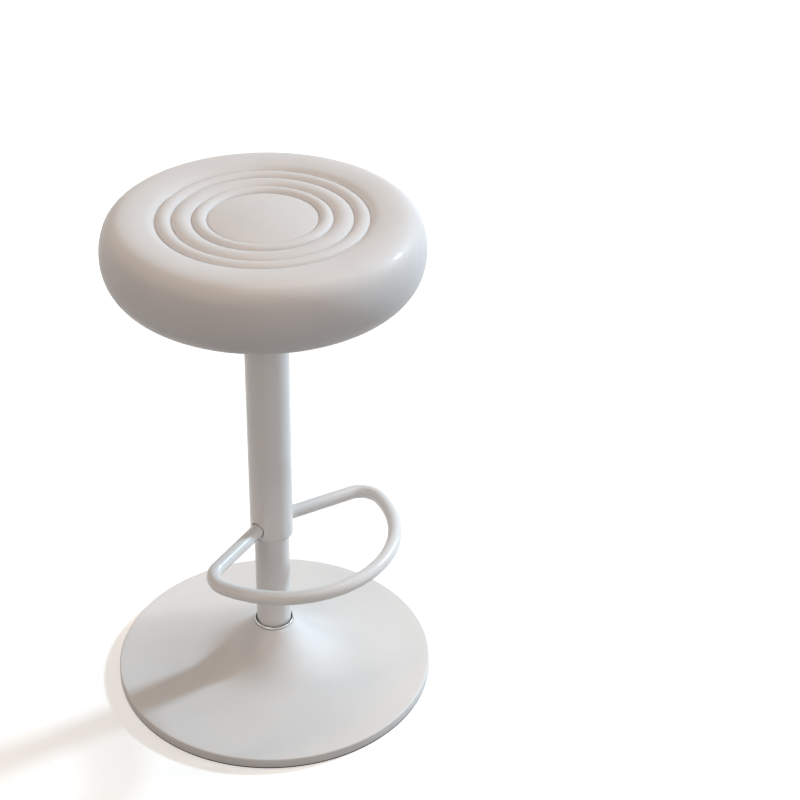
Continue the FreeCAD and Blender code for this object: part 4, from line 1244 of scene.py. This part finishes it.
class STOOL_OT_column_trims(bpy.types.Operator):
    """Spin the stand tube, the bright collar round its foot and a black ring that paints the shade
    in the collar's gap
    """

    bl_idname = "stool.column_trims"
    bl_label = "Stand tube, collar and seal"

    def execute(self, context):
        column = context.scene.stool_column
        low, high = bottom("stand_tube"), top("stand_tube")
        bore = column.tube_radius - column.wall
        section = outline((bore, low), (column.tube_radius, low), (column.tube_radius, high),
                          (bore, high), (bore, low))
        tube = round_edges(turned("lower_column_tube", section, column.steps), width=0.0004)
        finished(tube, "base", "white_paint", "tube_paint", "stand_tube")
        low, high = bottom("column_collar"), top("column_collar")
        tube_side = column.tube_radius + PLACE
        inner = column.tube_radius + column.collar_gap
        outer = column.collar_radius
        lip = column.collar_lip / 2
        cut = column.collar_cut
        section = outline(
            (tube_side, low),
            (outer - cut, low),
            (outer - cut, low + cut),
            (outer, low + cut),
            (outer, high - lip, lip, 6),
            (outer - lip, high),
            (inner, high - lip / 2),
            (inner, low + column.collar_floor),
            (tube_side, low + column.collar_floor),
            (tube_side, low),
        )
        collar = turned("bright_column_collar", section, column.steps)
        finished(collar, "base", "bright_collar", "bright_collar", "column_collar")
        # A black ring in the gap between the collar and the tube: painted shade that darkens the
        # gap.
        gap_shade_low = low + column.collar_floor + PLACE
        gap_shade_high = high - column.seal_drop
        section = outline((tube_side, gap_shade_low), (inner - PLACE, gap_shade_low),
                          (inner - PLACE, gap_shade_high), (tube_side, gap_shade_high),
                          (tube_side, gap_shade_low))
        gap_shade_ring = turned("column_collar_seal", section, column.steps)
        finished(gap_shade_ring, "base", "black_rubber", "black_rubber")
        return {"FINISHED"}


def leg_direction(bar, side):
    """Direction of a footrest leg in plan, on the right for side 1 and the left for side -1."""
    return Vector((side * math.sin(bar.leg_angle), -math.cos(bar.leg_angle), 0.0))


class STOOL_OT_column_sleeve(bpy.types.Operator):
    """Spin the sliding sleeve and cut the two holes that the footrest enters"""

    bl_idname = "stool.column_sleeve"
    bl_label = "Column sleeve"

    def execute(self, context):
        column = context.scene.stool_column
        bar = context.scene.stool_footrest
        low, high = bottom("column_sleeve"), top("column_sleeve")
        outer = column.sleeve_radius
        bore = outer - column.wall
        edge = column.edge_round
        groove = low + column.groove_height
        inset = outer - column.groove_depth
        section = outline((bore, low), (outer - edge, low, edge, 4), (outer, low + edge),
                          (outer, groove), (inset, groove),
                          (inset, groove + column.groove_width),
                          (outer, groove + column.groove_width),
                          (outer, bar.height + 2 * bar.bar_radius), (outer, high),
                          (bore, high), (bore, low))
        sleeve = turned("sliding_column_sleeve", section, column.steps)
        for side in (1, -1):
            start = Vector((0.0, bar.leg_offset, bar.height))
            end = start + leg_direction(bar, side) * 2 * outer
            cutter = rod("leg_cutter", bar.bar_radius + bar.hole_gap, start, end, sides=64)
            cut_away(sleeve, cutter)
        finished(sleeve, "seat", "white_paint", "tube_paint", "column_sleeve", degrees=30.0)
        return {"FINISHED"}


def footrest_half(bar):
    """Middle line of the footrest's right half in plan, from the front to the sleeve."""
    sine, cosine = math.sin(bar.leg_angle), math.cos(bar.leg_angle)
    across = bar.leg_offset + bar.front_centre
    side = bar.bend_radius * sine - across
    leg = across * cosine + math.sqrt(
        (across * cosine) ** 2 - side ** 2 - (bar.bend_radius * cosine) ** 2
        + (bar.front_radius - bar.bend_radius) ** 2)
    bend_x = -bar.leg_offset + leg * cosine + bar.bend_radius * sine
    bend_y = leg * sine - bar.bend_radius * cosine
    out = bar.front_radius / (bar.front_radius - bar.bend_radius)
    half = outline(
        (bar.front_centre + bar.front_radius, 0.0, bar.front_radius, 36),
        (bar.front_centre + out * (bend_x - bar.front_centre), out * bend_y,
         bar.bend_radius, 20),
        (-bar.leg_offset + leg * cosine, leg * sine),
        (-bar.leg_offset + bar.leg_start * cosine, bar.leg_start * sine),
    )
    return [Vector((point.y, -point.x)) for point in half]


class STOOL_OT_footrest(bpy.types.Operator):
    """Bend the footrest loop"""

    bl_idname = "stool.footrest"
    bl_label = "Footrest loop"

    def execute(self, context):
        bar = context.scene.stool_footrest
        half = footrest_half(bar)
        mirrored = [Vector((-point.x, point.y)) for point in half[:0:-1]]
        path = level(mirrored + half, bar.height)
        loop = tube_along("footrest_loop", path, bar.bar_radius, sides=40)
        finished(loop, "seat", "white_paint", "tube_paint", "footrest_bar", degrees=40.0)
        return {"FINISHED"}


# Release lever


def grip_outline(lever):
    """Outline of the grip from its neck, with two swellings and a waist."""
    root_x, root_r = lever.root_reach, lever.root_round
    end_r, waist = lever.end_round, lever.waist_round
    end_x = lever.length - end_r
    span = end_x - root_x
    waist_x = root_x + (span ** 2 + (root_r + waist) ** 2 - (end_r + waist) ** 2) / (2 * span)
    waist_y = math.sqrt((root_r + waist) ** 2 - (waist_x - root_x) ** 2)
    root_part = root_r / (root_r + waist)
    end_part = end_r / (end_r + waist)
    meet_x = root_x - math.sqrt(root_r ** 2 - lever.root_half ** 2)
    root_meet = (root_x + root_part * (waist_x - root_x), root_part * waist_y)
    end_meet = (end_x + end_part * (waist_x - end_x), end_part * waist_y)
    half = outline(
        (0.0, lever.root_half),
        (meet_x, lever.root_half, -root_r, 12),
        (*root_meet, waist, 12),
        (*end_meet, -end_r, 14),
        (lever.length, 0.0),
    )
    return half + [Vector((point.x, -point.y)) for point in half[-2::-1]]


class STOOL_OT_lever_grip(bpy.types.Operator):
    """Model the flat grip of the release lever"""

    bl_idname = "stool.lever_grip"
    bl_label = "Lever grip"

    def execute(self, context):
        lever = context.scene.stool_lever
        half = lever.thickness / 2
        grip = plate("lever_grip", grip_outline(lever), -half, half)
        round_edges(grip, lever.edge_round, segments=5, degrees=40.0)
        outside = -0.001
        cut_away(grip, rod("bore_cutter", lever.bore_radius, (outside, 0, 0),
                           (lever.bore_depth, 0, 0), sides=32))
        neck = Vector((lever.neck_reach, 0.0, lever.neck_height))
        grip.data.transform(Matrix.Rotation(lever.azimuth, 4, "Z") @ Matrix.Translation(neck)
                            @ Matrix.Rotation(lever.droop, 4, "Y"))
        finished(grip, "lever", "grey_plastic", "grey_plastic", "lever_handle", degrees=40.0)
        return {"FINISHED"}


class STOOL_OT_carried_finishes(bpy.types.Operator):
    """Give every piece that keeps its CAD shape the finish of its slot"""

    bl_idname = "stool.carried_finishes"
    bl_label = "Finishes of the other pieces"

    def execute(self, context):
        for part in frame["record"]["subparts"]:
            node = frame["nodes"][part["node"]]
            material = finish(part["material_slot"])
            if not node.material_slots:
                raise RuntimeError(f"{node.name} has no material slot")
            for place in node.material_slots:
                place.link = "OBJECT"
                place.material = material
        return {"FINISHED"}


# Stage


def direction(azimuth, height):
    """Unit vector towards a light."""
    return Vector((math.cos(azimuth) * math.cos(height), math.sin(azimuth) * math.cos(height),
                   math.sin(height)))


def soft_light(name, towards, distance, width, length, turn, power, tint):
    """A soft light that points at the middle of the stool and runs in a direction."""
    middle = Vector((0.0, 0.0, (cad_low.z + cad_high.z) / 2))
    along = Vector((math.cos(turn), math.sin(turn), 0.0))
    along = (along - towards * along.dot(towards)).normalized()
    axes = Matrix((along, towards.cross(along), towards)).transposed()
    deselect_all()
    bpy.ops.object.light_add(type="AREA", location=middle + towards * distance,
                             rotation=axes.to_euler())
    light = bpy.context.object
    light.name = name
    light.visible_camera = False
    light.data.shape = "RECTANGLE"
    light.data.size = length
    light.data.size_y = width
    light.data.energy = power
    light.data.color = tint


def square_light(name, stage, azimuth, height, width, power, tint):
    """A square soft light in a direction from the stool."""
    soft_light(name, direction(azimuth, height), stage.light_distance, width, width,
               azimuth + math.pi / 2, power, tint)


def seen_directly(tree):
    """1 for what the camera sees, directly or in metal or glass, and 0 for other light."""
    path = add_node(tree, "ShaderNodeLightPath")
    mirrored = add_node(tree, "ShaderNodeMath", {0: path.outputs["Is Camera Ray"],
                                                 1: path.outputs["Is Glossy Ray"]},
                        operation="ADD")
    through = add_node(tree, "ShaderNodeMath", {0: mirrored.outputs["Value"],
                                                1: path.outputs["Is Transmission Ray"]},
                       operation="ADD", use_clamp=True)
    return through.outputs["Value"]


def light_the_world(stage):
    """A white surround for the eye, and a plain soft light from all sides."""
    world = bpy.data.worlds.new("studio")
    world.use_nodes = True
    tree = world.node_tree
    tree.nodes.clear()
    fill = add_node(tree, "ShaderNodeBackground",
                    {"Color": (*stage.surround_colour, 1.0), "Strength": stage.surround})
    white = add_node(tree, "ShaderNodeBackground",
                     {"Color": (1.0, 1.0, 1.0, 1.0), "Strength": 1.0})
    mixed = add_node(tree, "ShaderNodeMixShader", {"Fac": seen_directly(tree)})
    tree.links.new(fill.outputs["Background"], mixed.inputs[1])
    tree.links.new(white.outputs["Background"], mixed.inputs[2])
    add_node(tree, "ShaderNodeOutputWorld", {"Surface": mixed.outputs["Shader"]})
    bpy.context.scene.world = world


def floor_finish(stage):
    """Pale matt floor that looks white and still shows the stool's shadow."""
    material = bpy.data.materials.new("studio_floor")
    material.use_nodes = True
    tree = material.node_tree
    tree.nodes.clear()
    seen = seen_directly(tree)
    tint = add_node(tree, "ShaderNodeMix", {"Factor": seen}, data_type="RGBA")
    tint.inputs["A"].default_value = (*stage.floor_bounce, 1.0)
    tint.inputs["B"].default_value = (*stage.floor, 1.0)
    matt = add_node(tree, "ShaderNodeBsdfDiffuse", {"Color": tint.outputs["Result"]})
    away = add_node(tree, "ShaderNodeVectorMath", {0: object_place(tree)}, operation="LENGTH")
    glow_level = add_node(tree, "ShaderNodeMapRange",
                          {"Value": away.outputs["Value"], "From Min": stage.floor_near,
                           "From Max": stage.floor_far, "To Min": stage.floor_lift,
                           "To Max": 1.0})
    lift = add_node(tree, "ShaderNodeMath", {0: seen, 1: glow_level.outputs["Result"]},
                    operation="MULTIPLY")
    glow = add_node(tree, "ShaderNodeEmission", {"Strength": lift.outputs["Value"]})
    both = add_node(tree, "ShaderNodeAddShader",
                    {0: matt.outputs["BSDF"], 1: glow.outputs["Emission"]})
    add_node(tree, "ShaderNodeOutputMaterial", {"Surface": both.outputs["Shader"]})
    return material


class STOOL_OT_stage(bpy.types.Operator):
    """Set the camera, the lights and the floor"""

    bl_idname = "stool.stage"
    bl_label = "Stage"

    def execute(self, context):
        scene = context.scene
        stage = scene.stool_stage
        scene.view_settings.view_transform = "Standard"
        deselect_all()
        bpy.ops.mesh.primitive_plane_add(size=stage.floor_size)
        floor = named("studio_floor")
        floor.data.materials.append(floor_finish(stage))
        for name in ("key", "room", "side", "fill"):
            settings = [getattr(stage, f"{name}_{setting}")
                        for setting in ("azimuth", "height", "size", "power", "colour")]
            square_light(f"{name}_light", stage, *settings)
        square_light("ceiling_light", stage, 0.0, math.pi / 2, stage.ceiling_size,
                     stage.ceiling_power, stage.ceiling_colour)
        soft_light("strip_light", direction(stage.strip_azimuth, stage.strip_height),
                   stage.light_distance, stage.strip_width, stage.strip_length,
                   stage.strip_turn, stage.strip_power, stage.strip_colour)
        light_the_world(stage)
        look = Vector(stage.camera_forward).to_track_quat("-Z", "Y").to_matrix()
        tilt = look @ Matrix.Rotation(stage.camera_roll, 3, "Z")
        bpy.ops.object.camera_add(location=stage.camera_place, rotation=tilt.to_euler())
        camera = bpy.context.object
        camera.name = "photo_camera"
        camera.data.lens = stage.lens
        camera.data.sensor_width = 36.0
        scene.camera = camera
        return {"FINISHED"}


# Add-on


SETTINGS = {
    "stool_seat": STOOL_PG_seat,
    "stool_base": STOOL_PG_base,
    "stool_column": STOOL_PG_column,
    "stool_footrest": STOOL_PG_footrest,
    "stool_lever": STOOL_PG_lever,
    "stool_finish": STOOL_PG_finish,
    "stool_stage": STOOL_PG_stage,
}
OPERATORS = (
    STOOL_OT_carried_finishes,
    STOOL_OT_base_shell,
    STOOL_OT_floor_ring,
    STOOL_OT_base_screws,
    STOOL_OT_column_trims,
    STOOL_OT_column_sleeve,
    STOOL_OT_footrest,
    STOOL_OT_lever_grip,
    STOOL_OT_seat_mechanism,
    STOOL_OT_seat_screws,
    STOOL_OT_dust_cloth,
    STOOL_OT_staples,
    STOOL_OT_seat_cushion,
    STOOL_OT_stage,
)


class STOOL_PT_sidebar(bpy.types.Panel):
    """Lists the stool's pieces and their settings"""

    bl_idname = "STOOL_PT_sidebar"
    bl_label = "Bar stool"
    bl_space_type = "VIEW_3D"
    bl_region_type = "UI"
    bl_category = "Bar stool"

    def draw(self, context):
        for operator in OPERATORS:
            self.layout.operator(operator.bl_idname)
        for name, group in SETTINGS.items():
            box = self.layout.box()
            box.label(text=group.__doc__)
            for setting in group.__annotations__:
                box.prop(getattr(context.scene, name), setting)


CLASSES = (*SETTINGS.values(), *OPERATORS, STOOL_PT_sidebar)


def register():
    """Register the classes and hang the settings on the scene."""
    for cls in CLASSES:
        bpy.utils.register_class(cls)
    for name, group in SETTINGS.items():
        setattr(bpy.types.Scene, name, PointerProperty(type=group))


def unregister():
    """Take the settings and the classes away again."""
    for name in SETTINGS:
        delattr(bpy.types.Scene, name)
    for cls in reversed(CLASSES):
        bpy.utils.unregister_class(cls)


def run(operator):
    """Call an operator by its name."""
    group, name = operator.bl_idname.split(".")
    getattr(getattr(bpy.ops, group), name)()


def main():
    """Build the stool and the studio."""
    register()
    for operator in OPERATORS:
        run(operator)


if __name__ == "__main__":
    main()
